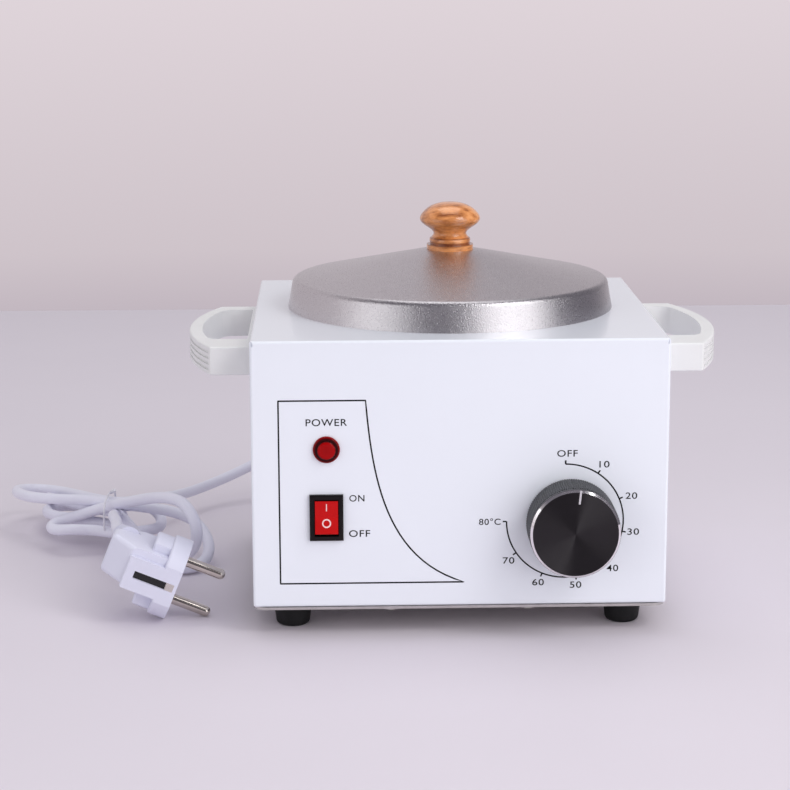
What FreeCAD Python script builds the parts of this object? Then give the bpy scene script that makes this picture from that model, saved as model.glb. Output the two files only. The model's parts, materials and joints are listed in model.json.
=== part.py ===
import FreeCAD, Part
import math
import os

# Single-pot wax warmer: a folded steel housing that carries a heated aluminium well, with a
# lift-out wax pot, a spun lid with a turned wooden knob, a dial thermostat, a rocker switch,
# a pilot lamp and a mains lead.  All lengths are in millimetres.
# X points right, Y away from the user, Z up.  The origin is on the standing surface, at the
# centre of the footprint of everything but the free mains lead.

V = FreeCAD.Vector
X_AXIS = V(1, 0, 0)
Y_AXIS = V(0, 1, 0)
Z_AXIS = V(0, 0, 1)
FULL_TURN = 360.0

# ---- housing ----
housing_width = 185.0
housing_height = 122.2
sheet = 1.0
bend_radius = 1.3
inner_bend_radius = 0.3
bottom_flange = 12.0
base_thickness = 1.2
base_corner_radius = 6.0
corner_relief_length = 2.4
corner_relief_width = 0.5
vent_length = 34.0
vent_width = 3.5
vent_pitch = 9.0
vents_per_side = 5
vent_offset = 40.0

# ---- feet ----
foot_height = 12.0
foot_top_diameter = 18.0
foot_bottom_diameter = 15.0
foot_edge_radius = 2.2
foot_recess_diameter = 8.4
foot_recess_depth = 5.0
foot_inset_x = 17.3
foot_inset_y = 19.5

# ---- screws ----
m4_shank = 4.0
m4_head = 7.6
m4_head_height = 2.6
m3_shank = 3.0
m3_head = 5.6
m3_head_height = 2.0
m5_shank = 5.0
m5_head = 10.0
m5_head_height = 3.4
nut_across_flats = 7.0
nut_thickness = 3.2
nut_sides = 6
screw_hole_gap = 0.2
thread_gap = 0.05
cross_slot_width = 0.9
cross_slot_depth = 1.1
dome_share = 0.9
head_rounding_share = 0.45
cross_slot_share = 0.6
bracket_screw_length = 9.0
washer_thickness = 1.2

# ---- side handles ----
handle_height = 13.0
handle_top_drop = 7.4
handle_length = 107.0
handle_shift = -4.5
handle_corner_reach = 18.6
handle_reach = 30.7
handle_grip_wall = 6.0
handle_front_arm = 20.0
handle_rear_arm = 10.0
handle_root = 2.5
handle_corner_radius = 6.0
handle_edge_radius = 0.8
handle_grooves = 4
handle_groove_height = 1.2
handle_groove_depth = 0.7
handle_hole_share = 0.6
handle_screw_share = 0.5

# ---- heating well and wax pot ----
well_front_room = 17.05
well_rear_room = 2.05
well_radius = 66.5
well_wall = 1.5
well_depth = 84.0
well_corner_radius = 8.0
well_flange_width = 7.5
well_hole_gap = 1.0
pot_side_gap = 3.0
pot_floor_gap = 1.0
pot_wall = 1.2
pot_corner_radius = 7.0
pot_bead_radius = 2.0
pot_rim_inset = 3.5
boss_diameter = 14.0
boss_height = 9.0
tie_bolt_end_gap = 1.0

# ---- lid ----
lid_skirt_taper = 2.35
lid_wall = 1.2
lid_skirt_height = 13.3
lid_height = 26.75
lid_flat_radius = 12.3
lid_shoulder_rounding = 3.0
lid_flat_rounding = 8.0
lid_side_gap = 1.8
knob_hole_gap = 0.4
knob_washer_radius = 6.1

# ---- lid knob, turned from wood ----
wood_base_diameter = 22.0
wood_base_height = 2.5
wood_groove_diameter = 19.0
wood_groove_height = 0.9
wood_bead_diameter = 19.4
wood_bead_height = 2.0
wood_neck_diameter = 15.6
wood_neck_level = 7.6
wood_ball_diameter = 28.5
wood_ball_level = 14.2
wood_shoulder_diameter = 23.0
wood_shoulder_level = 18.9
wood_crown_diameter = 13.6
wood_crown_level = 21.5
wood_height = 22.3
wood_screw_depth = 14.0
wood_screw_share = 0.85

# ---- band heater, insulation and sensors ----
band_gap = 0.15
band_thickness = 3.0
band_height = 30.0
band_lift = 8.0
band_split_angle = 240.0
band_split_width = 10.0
band_ear_reach = 9.0
band_ear_thickness = 2.0
band_ear_margin = 6.0
heater_nut_flats = 5.6
heater_nut_thickness = 2.2
post_angles = (200.0, 211.0)
post_length = 7.0
post_diameter = 5.0
insulation_gap = 0.4
insulation_thickness = 4.4
insulation_open_from = 190.0
insulation_open_to = 254.0
sensor_diameter = 6.0
sensor_gap = 0.2
sensor_lift = 9.0
sensor_start_angle = 285.0
sensor_sweep = 60.0
capillary_radius = 0.8
capillary_panel_gap = 4.0
capillary_side_gap = 6.0
capillary_drop = 24.0
capillary_exit_level = 5.5
clip_sweep = 6.0
clip_thickness = 0.6
clip_gap = 0.5
clip_shares = (0.2, 0.8)
fuse_diameter = 5.0
fuse_start_angle = 196.0
fuse_sweep = 16.0

# ---- thermostat and dial ----
dial_inset = 43.2
dial_level = 39.4
dial_reach = 21.0
dial_back_gap = 0.8
dial_radius = 20.15
dial_front_radius = 19.95
dial_wall = 1.8
dial_web = 4.0
dial_hub_radius = 6.0
dial_hub_gap = 1.5
dial_cap_thickness = 3.0
dial_chamfer = 1.2
dial_pointer_length = 6.4
dial_pointer_width = 1.0
dial_pointer_depth = 0.3
dial_rest_angle = 6.0
spindle_radius = 3.0
spindle_fit = 0.05
spindle_tail = 12.0
spindle_flat = 0.8
bush_radius = 4.5
bush_reach = 2.0
bush_hole_gap = 0.5
thermostat_width = 36.0
thermostat_height = 44.0
thermostat_depth = 20.0
thermostat_plate = 2.0
thermostat_corner_radius = 3.0
thermostat_screw_spacing = 28.0
thermostat_screw_length = 6.6
thermostat_screw_head = 6.4
thermostat_screw_head_height = 2.2
thermostat_blade_share = 0.2
thermostat_blade_drop_share = 0.25
blade_width = 6.3
blade_thickness = 0.8
blade_length = 7.0

# ---- rocker switch ----
rocker_inset = 33.1
rocker_level = 42.7
bezel_width = 15.0
bezel_height = 21.0
bezel_thickness = 2.0
bezel_rounding = 0.8
cutout_width = 13.2
cutout_height = 19.2
cutout_gap = 0.2
switch_depth = 13.0
rocker_width = 10.2
rocker_half_length = 7.5
rocker_pivot_depth = 2.5
rocker_tilt = 10.0
rocker_proud = 0.2
rocker_back = 1.5
rocker_back_half = 6.6
rocker_tip_rounding = 0.5
rocker_side_gap = 0.3
rocker_end_gap = 0.35
terminal_rise_share = 0.25
rocker_well_depth = 6.0
trunnion_radius = 1.0
trunnion_length = 0.9
trunnion_fit = 0.05

# ---- pilot lamp ----
lamp_inset = 33.3
lamp_level = 73.6
lens_radius = 6.0
lens_rim = 1.5
lens_dome_radius = 4.3
lens_dome_height = 1.6
lens_barrel_radius = 4.8
lens_barrel_length = 6.0
lens_wall = 1.2
lens_rim_share = 0.6
lens_dome_share = 0.8
lamp_hole_gap = 0.2
holder_length = 12.0
lamp_nut_flats = 13.0
lamp_nut_thickness = 3.0
neon_radius = 2.6
neon_length = 11.0
neon_end_share = 0.6
neon_tip_share = 0.8

# ---- mains inlet ----
gland_inset = 37.5
gland_level = 26.0
boot_reach = 24.0
boot_flange_radius = 8.0
boot_flange_thickness = 2.0
boot_base_radius = 6.4
boot_tip_radius = 4.2
boot_neck_radius = 6.0
boot_neck_gap = 0.2
boot_ribs = 5
boot_rib_depth = 0.6
boot_plain_tip = 4.0
rib_land_share = 0.55
cord_diameter = 5.6
cord_fit = 0.05
tail_length = 24.0
clamp_inset = 16.5
clamp_width = 14.0
clamp_thickness = 7.0
clamp_cover = 4.0
block_length = 34.0
block_width = 18.0
block_height = 15.0
block_shift = 11.0
block_back_gap = 45.0
block_way_diameter = 4.0
block_ways = 3
block_way_share = 0.7
block_screw_share = 0.75
block_hole_share = 0.6
block_mouth_share = 0.5
wire_diameter = 2.2
wire_stub = 8.0
wire_bed = 10.0
wire_swing = 14.0
wire_climb = 24.0
wire_dip = 4.0
core_pitch = 2.31
lamp_lead_spacing = 4.0
lamp_lead_swing = 7.5
lamp_lead_stub = 3.0

# ---- free mains lead: a hank held by a twist tie, and an earthed two-pin plug ----
plug_face = V(-127.8, -56.5, 17.62)
plug_pitch = 22.3
pin_diameter = 4.8
pin_length = 19.0
pin_spacing = 19.0
pin_root_diameter = 4.0
plug_face_radius = 19.0
plug_face_thickness = 8.5
plug_half_depth = 16.8
plug_band_width = 15.5
plug_band_length = 25.0
plug_wing_radius = 17.6
plug_wing_length = 16.5
plug_wing_half_depth = 9.0
plug_grip_length = 35.5
plug_grip_up = 11.5
plug_grip_down = 7.5
plug_grip_half_depth = 14.0
plug_grip_bevel = 9.0
plug_rounding = 1.2
plug_grip_rounding = 2.4
plug_overlap = 1.0
earth_slot_width = 3.6
earth_slot_length = 19.0
earth_slot_depth = 2.0
earth_slot_start = 1.5
earth_strip_thickness = 0.8
earth_hole_diameter = 5.2
earth_hole_depth = 12.0
earth_hole_offset = 10.2
relief_start = V(-28.0, -8.0, 5.8)
relief_length = 22.0
relief_base_radius = 5.6
relief_tip_radius = 4.2
relief_yaw = 80.0
relief_dip = 13.0
relief_pocket_gap = 0.3
relief_ribs = 4
tie_width = 2.4
tie_thickness = 0.8
tie_gap = 0.3
waist = V(-171.0, 63.5, 17.0)
waist_half_width = 17.0
waist_half_height = 10.5
hank_direction = V(0.86, -0.51, 0)
# Along, across and above the waist, then half width and half height, of each section of the hank.
hank_sections = ((-77.0, 19.0, 0.5, 8.0, 4.5), (-63.0, 15.0, 0.0, 20.0, 8.0),
                 (-45.0, 12.0, -0.5, 29.5, 12.0), (-24.0, 4.0, 0.0, 32.0, 12.5),
                 (0.0, 0.0, 0.0, waist_half_width, waist_half_height),
                 (24.0, -2.0, 2.5, 22.5, 15.5), (46.0, -12.0, 4.5, 28.0, 18.0),
                 (66.0, -22.0, 6.5, 30.0, 20.0), (88.0, -48.0, 13.0, 7.0, 12.5))
lead_straight = 20.0
lead_points = (V(-62.0, 143.0, 36.0), V(-77.0, 154.0, 30.5), V(-95.0, 155.0, 22.5),
               V(-111.0, 148.0, 16.0), V(-124.0, 136.0, 13.2), V(-136.0, 119.0, 12.8),
               V(-146.0, 103.0, 14.8), V(-154.0, 88.0, 18.5), V(-159.0, 74.0, 21.0))
plug_lead_straight = 17.0
plug_lead_points = (V(-161.5, 5.0, 28.5), V(-164.5, 22.0, 26.0), V(-166.5, 36.0, 23.5),
                    V(-167.0, 48.0, 20.5))

# ---- positions that follow from the sizes above ----
half_width = housing_width / 2
band_inner = well_radius + band_gap
band_outer = band_inner + band_thickness
sleeve_inner = band_outer + insulation_gap
sleeve_outer = sleeve_inner + insulation_thickness
housing_depth = 2 * sheet + well_front_room + 2 * sleeve_outer + well_rear_room
dial_x = half_width - dial_inset
rocker_x = rocker_inset - half_width
lamp_x = lamp_inset - half_width
gland_x = gland_inset - half_width
block_x = gland_x + block_shift
block_way_pitch = block_length / block_ways * block_way_share
centre_y = (dial_reach - boot_reach) / 2
front_y = centre_y - housing_depth / 2
rear_y = centre_y + housing_depth / 2
base_bottom = foot_height
base_top = base_bottom + base_thickness
housing_top = base_bottom + housing_height
front_inside = front_y + sheet
rear_inside = rear_y - sheet
well_y = rear_inside - well_rear_room - sleeve_outer
seat_z = housing_top + well_wall
well_bottom = seat_z - well_depth
lid_bottom = housing_top
well_flange_radius = well_radius + well_flange_width
lid_radius = well_flange_radius + lid_side_gap + lid_wall
lid_shoulder_radius = lid_radius - lid_skirt_taper
pot_radius = well_radius - well_wall - pot_side_gap
pot_rim_radius = well_flange_radius - pot_rim_inset
pot_bottom = well_bottom + well_wall + pot_floor_gap
knob_seat = lid_bottom + lid_height
dial_z = base_bottom + dial_level
rocker_z = base_bottom + rocker_level
lamp_z = base_bottom + lamp_level
gland_z = base_bottom + gland_level
cord_radius = cord_diameter / 2
band_bottom = well_bottom + band_lift
band_top = band_bottom + band_height
sensor_radius = sensor_diameter / 2
sensor_path_radius = well_radius + sensor_gap + sensor_radius
sensor_z = band_top + sensor_lift
handle_z = housing_top - handle_top_drop - handle_height / 2
handle_y = centre_y + handle_shift
foot_x = half_width - foot_inset_x
foot_y = housing_depth / 2 - foot_inset_y
foot_places = [(side_x * foot_x, centre_y + side_y * foot_y)
               for side_x in (-1, 1) for side_y in (-1, 1)]
flange_x = half_width - bottom_flange / 2
flange_y = housing_depth / 2 - bottom_flange / 2
base_screw_places = [(side * flange_x, centre_y) for side in (-1, 1)]
base_screw_places += [(side_x * half_width / 3, centre_y + side_y * flange_y)
                      for side_x in (-1, 1) for side_y in (-1, 1)]
handle_screw_ys = (handle_y - handle_length / 2 + handle_front_arm / 2,
                   handle_y + handle_length / 2 - handle_rear_arm / 2)
block_y = rear_inside - block_back_gap
block_screw_places = [(block_x + side * block_length / 2 * block_screw_share, block_y) for side in (-1, 1)]
clamp_y = rear_y - clamp_inset
earth_place = (half_width / 3, centre_y + housing_depth / 4)


# ---- general shapes ----

def save(node, *solids):
    """Write the solids of one node to a STEP file of the node's name."""
    shape = solids[0] if len(solids) == 1 else Part.makeCompound(list(solids))
    shape.exportStep("parts/" + node + ".step")


def block(low, high):
    """A box between two opposite corners."""
    size = high - low
    return Part.makeBox(size.x, size.y, size.z, low)


def rod(radius, length, start, axis):
    return Part.makeCylinder(radius, length, start, axis)


def corner_setback(before, corner, after, radius):
    """How far along both legs a round of this radius starts from the corner."""
    half_angle = (before - corner).getAngle(after - corner) / 2
    return radius / math.tan(half_angle)


def round_corner(before, corner, after, setback):
    """Start, middle and end of the arc that touches both legs at the given setback."""
    to_before = (before - corner).normalize()
    to_after = (after - corner).normalize()
    half_angle = to_before.getAngle(to_after) / 2
    radius = setback * math.tan(half_angle)
    bisector = (to_before + to_after).normalize()
    middle = corner + bisector * (radius / math.sin(half_angle) - radius)
    return corner + to_before * setback, middle, corner + to_after * setback


def outline(points, radii):
    """Closed wire through the points, each corner rounded by its own radius (0 leaves it sharp)."""
    edges = []
    ends = []
    count = len(points)
    for index in range(count):
        before = points[index - 1]
        corner = points[index]
        after = points[(index + 1) % count]
        if radii[index] > 0:
            setback = corner_setback(before, corner, after, radii[index])
            ends.append(round_corner(before, corner, after, setback))
        else:
            ends.append((corner, None, corner))
    for index in range(count):
        start, middle, end = ends[index]
        if middle is not None:
            edges.append(Part.Arc(start, middle, end).toShape())
        edges.append(Part.LineSegment(end, ends[(index + 1) % count][0]).toShape())
    return Part.Wire(edges)


def turned(profile, radii=None):
    """Solid of revolution about Z from (radius, height) points and the rounding of each corner."""
    points = [V(radius, 0, height) for radius, height in profile]
    face = Part.Face(outline(points, radii or [0] * len(points)))
    return face.revolve(V(0, 0, 0), Z_AXIS, FULL_TURN)


def facing_front(shape, x, y, z):
    """Turn a shape that was built along +Z so that it points to the front, and put it in place."""
    shape.rotate(V(0, 0, 0), X_AXIS, 90)
    shape.translate(V(x, y, z))
    return shape


def facing_rear(shape, x, y, z):
    shape.rotate(V(0, 0, 0), X_AXIS, -90)
    shape.translate(V(x, y, z))
    return shape


def swept_tube(points, radius, bend_share=0.45, name=None):
    """Round tube along straight runs joined by tangent arcs, each as large as its runs allow."""
    edges = []
    radii = []
    last = points[0]
    for index in range(1, len(points) - 1):
        before = points[index - 1]
        corner = points[index]
        after = points[index + 1]
        setback = bend_share * min(before.distanceToPoint(corner), corner.distanceToPoint(after))
        start, middle, end = round_corner(before, corner, after, setback)
        edges.append(Part.LineSegment(last, start).toShape())
        edges.append(Part.Arc(start, middle, end).toShape())
        radii.append(edges[-1].Curve.Radius)
        last = end
    edges.append(Part.LineSegment(last, points[-1]).toShape())
    path = Part.Wire(edges)
    section = Part.Wire([Part.Circle(points[0], points[1] - points[0], radius).toShape()])
    tube = path.makePipeShell([section], True, True)
    if name:
        expected = math.pi * radius ** 2 * path.Length
        print(name, "length", round(path.Length, 1), "volume ratio", round(tube.Volume / expected, 4))
        print(name, "bend radii", [round(value, 1) for value in radii])
    return tube


def screw(shank_diameter, length, head_diameter, head_height, seat, direction):
    """Cross-recessed pan-head screw: its head's underside is at seat, its shank runs along direction."""
    head_radius = head_diameter / 2
    head = turned([(0, -head_height), (head_radius, -head_height), (head_radius, 0), (0, 0)],
                  [0, head_height * head_rounding_share, 0, 0])
    slot_reach = head_radius * cross_slot_share
    for angle in (0, 90):
        slot = block(V(-slot_reach, -cross_slot_width / 2, -head_height - 1),
                     V(slot_reach, cross_slot_width / 2, -head_height + cross_slot_depth))
        slot.rotate(V(0, 0, 0), Z_AXIS, angle)
        head = head.cut(slot)
    body = head.fuse(rod(shank_diameter / 2, length, V(0, 0, 0), Z_AXIS))
    body.Placement = FreeCAD.Placement(seat, FreeCAD.Rotation(Z_AXIS, direction))
    return body


def hex_nut(across_flats, thickness, bore_diameter, base):
    """Hexagon nut standing on its base point along +Z."""
    corner_radius = across_flats / math.sqrt(3)
    corners = []
    for step in range(nut_sides):
        turn = math.radians(FULL_TURN / nut_sides * step)
        corners.append(V(corner_radius * math.cos(turn), corner_radius * math.sin(turn), 0))
    nut = Part.Face(Part.makePolygon(corners + corners[:1])).extrude(V(0, 0, thickness))
    nut = nut.cut(rod(bore_diameter / 2, thickness, V(0, 0, 0), Z_AXIS))
    nut.translate(base)
    return nut


def around_well(radius, angle, z):
    """Point at this radius and angle around the well's axis."""
    turn = math.radians(angle)
    return V(radius * math.cos(turn), well_y + radius * math.sin(turn), z)


def arc_rod(path_radius, rod_radius, start_angle, sweep, z):
    """Round rod bent along an arc around the well's axis."""
    ring = Part.makeTorus(path_radius, rod_radius, V(0, 0, 0), Z_AXIS, 0, FULL_TURN, sweep)
    ring.rotate(V(0, 0, 0), Z_AXIS, start_angle)
    ring.translate(V(0, well_y, z))
    return ring


def sector(radius, start_angle, sweep, low_z, height):
    """Wedge of a disc around the well's axis."""
    wedge = Part.makeCylinder(radius, height, V(0, 0, 0), Z_AXIS, sweep)
    wedge.rotate(V(0, 0, 0), Z_AXIS, start_angle)
    wedge.translate(V(0, well_y, low_z))
    return wedge


def ring_band(inner_radius, outer_radius, low_z, height):
    outer = rod(outer_radius, height, V(0, well_y, low_z), Z_AXIS)
    return outer.cut(rod(inner_radius, height, V(0, well_y, low_z), Z_AXIS))


# ---- housing ----

def make_housing_shell():
    """One folded sheet: front, top, back and sides, with a flange turned in around the bottom."""
    outer = block(V(-half_width, front_y, base_top), V(half_width, rear_y, housing_top))
    outer = outer.makeFillet(bend_radius, outer.Edges)
    inner = block(V(-half_width + sheet, front_inside, base_top + sheet),
                  V(half_width - sheet, rear_inside, housing_top - sheet))
    inner = inner.makeFillet(inner_bend_radius, inner.Edges)
    shell = outer.cut(inner)
    shell = shell.cut(block(V(-half_width + bottom_flange, front_y + bottom_flange, base_top),
                            V(half_width - bottom_flange, rear_y - bottom_flange, base_top + 2 * sheet)))
    cuts = [rod(well_radius + well_hole_gap, 2 * sheet, V(0, well_y, housing_top - sheet), Z_AXIS)]
    cuts += front_cutouts()
    boot_hole_start = V(gland_x, rear_inside - sheet, gland_z)
    cuts.append(rod(boot_neck_radius + boot_neck_gap, 2 * sheet, boot_hole_start, Y_AXIS))
    for x, y in base_screw_places:
        cuts.append(rod(m3_shank / 2 + thread_gap, sheet, V(x, y, base_top), Z_AXIS))
    for side in (-1, 1):
        for y in handle_screw_ys:
            start = V(side * (half_width - 2 * sheet), y, handle_z)
            cuts.append(rod(m4_shank / 2 + screw_hole_gap, 2 * sheet, start, X_AXIS * side))
        cuts.append(corner_relief(side))
    return shell.cut(cuts)


def front_cutouts():
    """Openings of the front panel for lamp, switch, spindle bush and thermostat screws."""
    depth = 3 * sheet
    start_y = front_y - sheet
    cuts = [rod(lens_barrel_radius + lamp_hole_gap, depth, V(lamp_x, start_y, lamp_z), Y_AXIS),
            rod(bush_radius + bush_hole_gap, depth, V(dial_x, start_y, dial_z), Y_AXIS)]
    cuts.append(block(V(rocker_x - cutout_width / 2, start_y, rocker_z - cutout_height / 2),
                      V(rocker_x + cutout_width / 2, start_y + depth, rocker_z + cutout_height / 2)))
    for side in (-1, 1):
        start = V(dial_x + side * thermostat_screw_spacing / 2, start_y, dial_z)
        cuts.append(rod(m4_shank / 2 + screw_hole_gap, depth, start, Y_AXIS))
    return cuts


def corner_relief(side):
    """Narrow slit where the top, front and side bends meet."""
    slit = block(V(-corner_relief_width / 2, -corner_relief_length / 2, -corner_relief_length),
                 V(corner_relief_width / 2, corner_relief_length / 2, corner_relief_length))
    slit.rotate(V(0, 0, 0), Z_AXIS, -45 * side)
    slit.translate(V(side * (half_width - bend_radius / 2), front_y + bend_radius / 2, housing_top))
    return slit


def make_base_plate():
    """Flat plate that closes the bottom, a little round at its corners, with vents under the well."""
    plate = block(V(-half_width, front_y, base_bottom), V(half_width, rear_y, base_top))
    upright = [edge for edge in plate.Edges if abs(edge.tangentAt(edge.FirstParameter).z) > 0.5]
    plate = plate.makeFillet(base_corner_radius, upright)
    cuts = []
    for x, y in base_screw_places:
        cuts.append(rod(m3_shank / 2 + screw_hole_gap, base_thickness, V(x, y, base_bottom), Z_AXIS))
    for x, y in bracket_screw_places():
        cuts.append(rod(m3_shank / 2 + screw_hole_gap, base_thickness, V(x, y, base_bottom), Z_AXIS))
    for x, y in foot_places:
        cuts.append(rod(m4_shank / 2 + screw_hole_gap, base_thickness, V(x, y, base_bottom), Z_AXIS))
    cuts.append(rod(m4_shank / 2 + screw_hole_gap, base_thickness, V(*earth_place, base_bottom), Z_AXIS))
    cuts.append(rod(m5_shank / 2 + screw_hole_gap, base_thickness, V(0, well_y, base_bottom), Z_AXIS))
    for side in (-1, 1):
        for step in range(vents_per_side):
            y = well_y + (step - (vents_per_side - 1) / 2) * vent_pitch
            cuts.append(vent_slot(side * vent_offset, y))
    return plate.cut(cuts)


def bracket_screw_places():
    """Where screws come up through the base to hold the terminal block and the cord clamp."""
    return block_screw_places + [(gland_x, clamp_y)]


def vent_slot(x, y):
    """Round-ended slot along X."""
    half_run = (vent_length - vent_width) / 2
    slot = block(V(x - half_run, y - vent_width / 2, base_bottom),
                 V(x + half_run, y + vent_width / 2, base_top))
    for side in (-1, 1):
        end = V(x + side * half_run, y, base_bottom)
        slot = slot.fuse(rod(vent_width / 2, base_thickness, end, Z_AXIS))
    return slot


def make_foot(x, y):
    """Tapered rubber foot with a recess for its screw."""
    profile = [(0, 0), (foot_bottom_diameter / 2, 0), (foot_top_diameter / 2, foot_height), (0, foot_height)]
    foot = turned(profile, [0, foot_edge_radius, 0, 0])
    foot = foot.cut(rod(foot_recess_diameter / 2, foot_recess_depth, V(0, 0, 0), Z_AXIS))
    foot = foot.cut(rod(m4_shank / 2 + screw_hole_gap, foot_height, V(0, 0, 0), Z_AXIS))
    foot.translate(V(x, y, 0))
    return foot


def make_foot_screws():
    """One screw up through each foot and the base plate, long enough for its nut."""
    grip = foot_height - foot_recess_depth + base_thickness + nut_thickness
    return [screw(m4_shank, grip, m4_head, m4_head_height, V(x, y, foot_recess_depth), Z_AXIS)
            for x, y in foot_places]


def small_screws(places):
    """Screws driven up through the base plate at these places."""
    return [screw(m3_shank, bracket_screw_length, m3_head, m3_head_height, V(x, y, base_bottom), Z_AXIS)
            for x, y in places]


def make_handle(side):
    """Moulded side handle: two arms, a curved grooved grip and a thin plate on the housing wall."""
    front = handle_y - handle_length / 2
    rear = handle_y + handle_length / 2
    bulge = handle_reach - handle_corner_reach
    half_length = handle_length / 2
    grip_radius = (half_length ** 2 + bulge ** 2) / (2 * bulge)
    grip_centre = V(half_width + handle_reach - grip_radius, handle_y, 0)
    low_z = handle_z - handle_height / 2
    front_wall = V(half_width, front, 0)
    rear_wall = V(half_width, rear, 0)
    front_corner = V(half_width + handle_corner_reach, front, 0)
    rear_corner = V(half_width + handle_corner_reach, rear, 0)
    grip_middle = V(half_width + handle_reach, handle_y, 0)
    edges = [Part.LineSegment(rear_wall, front_wall).toShape(),
             Part.LineSegment(front_wall, front_corner).toShape(),
             Part.Arc(front_corner, grip_middle, rear_corner).toShape(),
             Part.LineSegment(rear_corner, rear_wall).toShape()]
    body = Part.Face(Part.Wire(edges)).extrude(V(0, 0, handle_height))
    body.translate(V(0, 0, low_z))
    rounded = [edge for edge in body.Edges if edge.BoundBox.XMax > half_width + handle_edge_radius]
    body = body.makeFillet(handle_edge_radius, rounded)
    opening = finger_opening(grip_centre, grip_radius - handle_grip_wall, front, rear)
    opening.translate(V(0, 0, low_z - 1))
    body = body.cut(opening)
    for index in range(handle_grooves):
        groove_z = low_z + handle_height * (index + 1) / (handle_grooves + 1) - handle_groove_height / 2
        ring_centre = V(grip_centre.x, grip_centre.y, groove_z)
        ring = rod(grip_radius + handle_groove_depth, handle_groove_height, ring_centre, Z_AXIS)
        ring = ring.cut(rod(grip_radius - handle_groove_depth, handle_groove_height, ring_centre, Z_AXIS))
        inset = handle_edge_radius * 2
        limit = block(V(half_width + handle_corner_reach - handle_grip_wall, front + inset, groove_z - 1),
                      V(half_width + 2 * handle_reach, rear - inset, groove_z + handle_groove_height + 1))
        body = body.cut(ring.common(limit))
    hole_depth = handle_corner_reach * handle_hole_share
    for y in handle_screw_ys:
        body = body.cut(rod(m4_shank / 2 + thread_gap, hole_depth, V(half_width, y, handle_z), X_AXIS))
    if side < 0:
        body = body.mirror(V(0, 0, 0), X_AXIS)
    return body


def finger_opening(grip_centre, radius, front, rear):
    """Through opening between the arms, curved like the grip on its outer side."""
    near = front + handle_front_arm
    far = rear - handle_rear_arm
    left = half_width + handle_root
    slab = block(V(left, near, 0), V(half_width + 2 * handle_reach, far, handle_height + 2))
    tool = slab.common(rod(radius, handle_height + 2, V(grip_centre.x, grip_centre.y, 0), Z_AXIS))
    upright = [edge for edge in tool.Edges
               if abs(edge.tangentAt(edge.FirstParameter).z) > 0.5 and edge.BoundBox.XMin > left + 1]
    return tool.makeFillet(handle_corner_radius, upright)


def make_handle_screws():
    length = handle_corner_reach * handle_screw_share
    screws = []
    for side in (-1, 1):
        for y in handle_screw_ys:
            seat = V(side * (half_width - sheet), y, handle_z)
            screws.append(screw(m4_shank, length, m4_head, m4_head_height, seat, X_AXIS * side))
    return screws


# ---- heating well, heater and sensors ----

def bowl(radius, wall, corner_radius, bottom_z, flange_radius, flange_top):
    """Straight-sided spun bowl on the well's axis with a flat flange around its mouth."""
    flange_bottom = flange_top - wall
    inner_corner = max(corner_radius - wall, wall)
    profile = [(0, bottom_z), (radius, bottom_z), (radius, flange_bottom), (flange_radius, flange_bottom),
               (flange_radius, flange_top), (radius - wall, flange_top), (radius - wall, bottom_z + wall),
               (0, bottom_z + wall)]
    radii = [0, corner_radius, 0, 0, 0, 0, inner_corner, 0]
    shape = turned(profile, radii)
    shape.translate(V(0, well_y, 0))
    return shape


def make_heating_well():
    return bowl(well_radius, well_wall, well_corner_radius, well_bottom, well_flange_radius, seat_z)


def make_well_boss():
    """Threaded boss welded under the well."""
    boss = rod(boss_diameter / 2, boss_height, V(0, well_y, well_bottom - boss_height), Z_AXIS)
    return boss.cut(rod(m5_shank / 2 + thread_gap, boss_height - tie_bolt_end_gap,
                        V(0, well_y, well_bottom - boss_height), Z_AXIS))


def make_tie_bolt():
    """Bolt from under the base into the boss: it pulls the well's flange down on the housing top."""
    length = well_bottom - 2 * tie_bolt_end_gap - base_bottom
    return screw(m5_shank, length, m5_head, m5_head_height, V(0, well_y, base_bottom), Z_AXIS)


def make_band_heater():
    """Split heating band around the lower wall of the well, with two ears and two terminal posts."""
    band = ring_band(band_inner, band_outer, band_bottom, band_height)
    split_width = math.degrees(band_split_width / band_outer)
    split_start = band_split_angle - split_width / 2
    band = band.cut(sector(2 * band_outer, split_start, split_width, band_bottom, band_height))
    middle_z = (band_bottom + band_top) / 2
    bolt_hole = rod(m3_shank / 2 + screw_hole_gap, 4 * band_split_width,
                    V(band_outer + band_ear_reach / 2, -2 * band_split_width, middle_z), Y_AXIS)
    pieces = []
    half_ear = band_ear_thickness / 2
    for side in (-1, 1):
        ear = block(V(band_outer - band_thickness / 2, -half_ear, band_bottom + band_ear_margin),
                    V(band_outer + band_ear_reach, half_ear, band_top - band_ear_margin))
        ear.translate(V(0, side * (band_split_width + band_ear_thickness) / 2, 0))
        ear = ear.cut(bolt_hole)
        ear.rotate(V(0, 0, 0), Z_AXIS, band_split_angle)
        ear.translate(V(0, well_y, 0))
        pieces.append(ear)
    for angle in post_angles:
        start = around_well(band_outer - band_thickness / 2, angle, middle_z)
        outward = (start - V(0, well_y, start.z)).normalize()
        pieces.append(rod(post_diameter / 2, post_length + band_thickness / 2, start, outward))
    return band.fuse(pieces).removeSplitter()


def make_heater_screw():
    """Clamp screw across the two ears, with its nut."""
    gap = band_split_width / 2 + band_ear_thickness
    radius = band_outer + band_ear_reach / 2
    middle_z = (band_bottom + band_top) / 2
    length = 2 * gap + nut_thickness
    bolt = screw(m3_shank, length, m3_head, m3_head_height, V(radius, -gap, middle_z), Y_AXIS)
    nut = hex_nut(heater_nut_flats, heater_nut_thickness, m3_shank + 2 * thread_gap, V(0, 0, 0))
    nut.rotate(V(0, 0, 0), X_AXIS, -90)
    nut.translate(V(radius, gap, middle_z))
    for shape in (bolt, nut):
        shape.rotate(V(0, 0, 0), Z_AXIS, band_split_angle)
        shape.translate(V(0, well_y, 0))
    return bolt, nut


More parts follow.
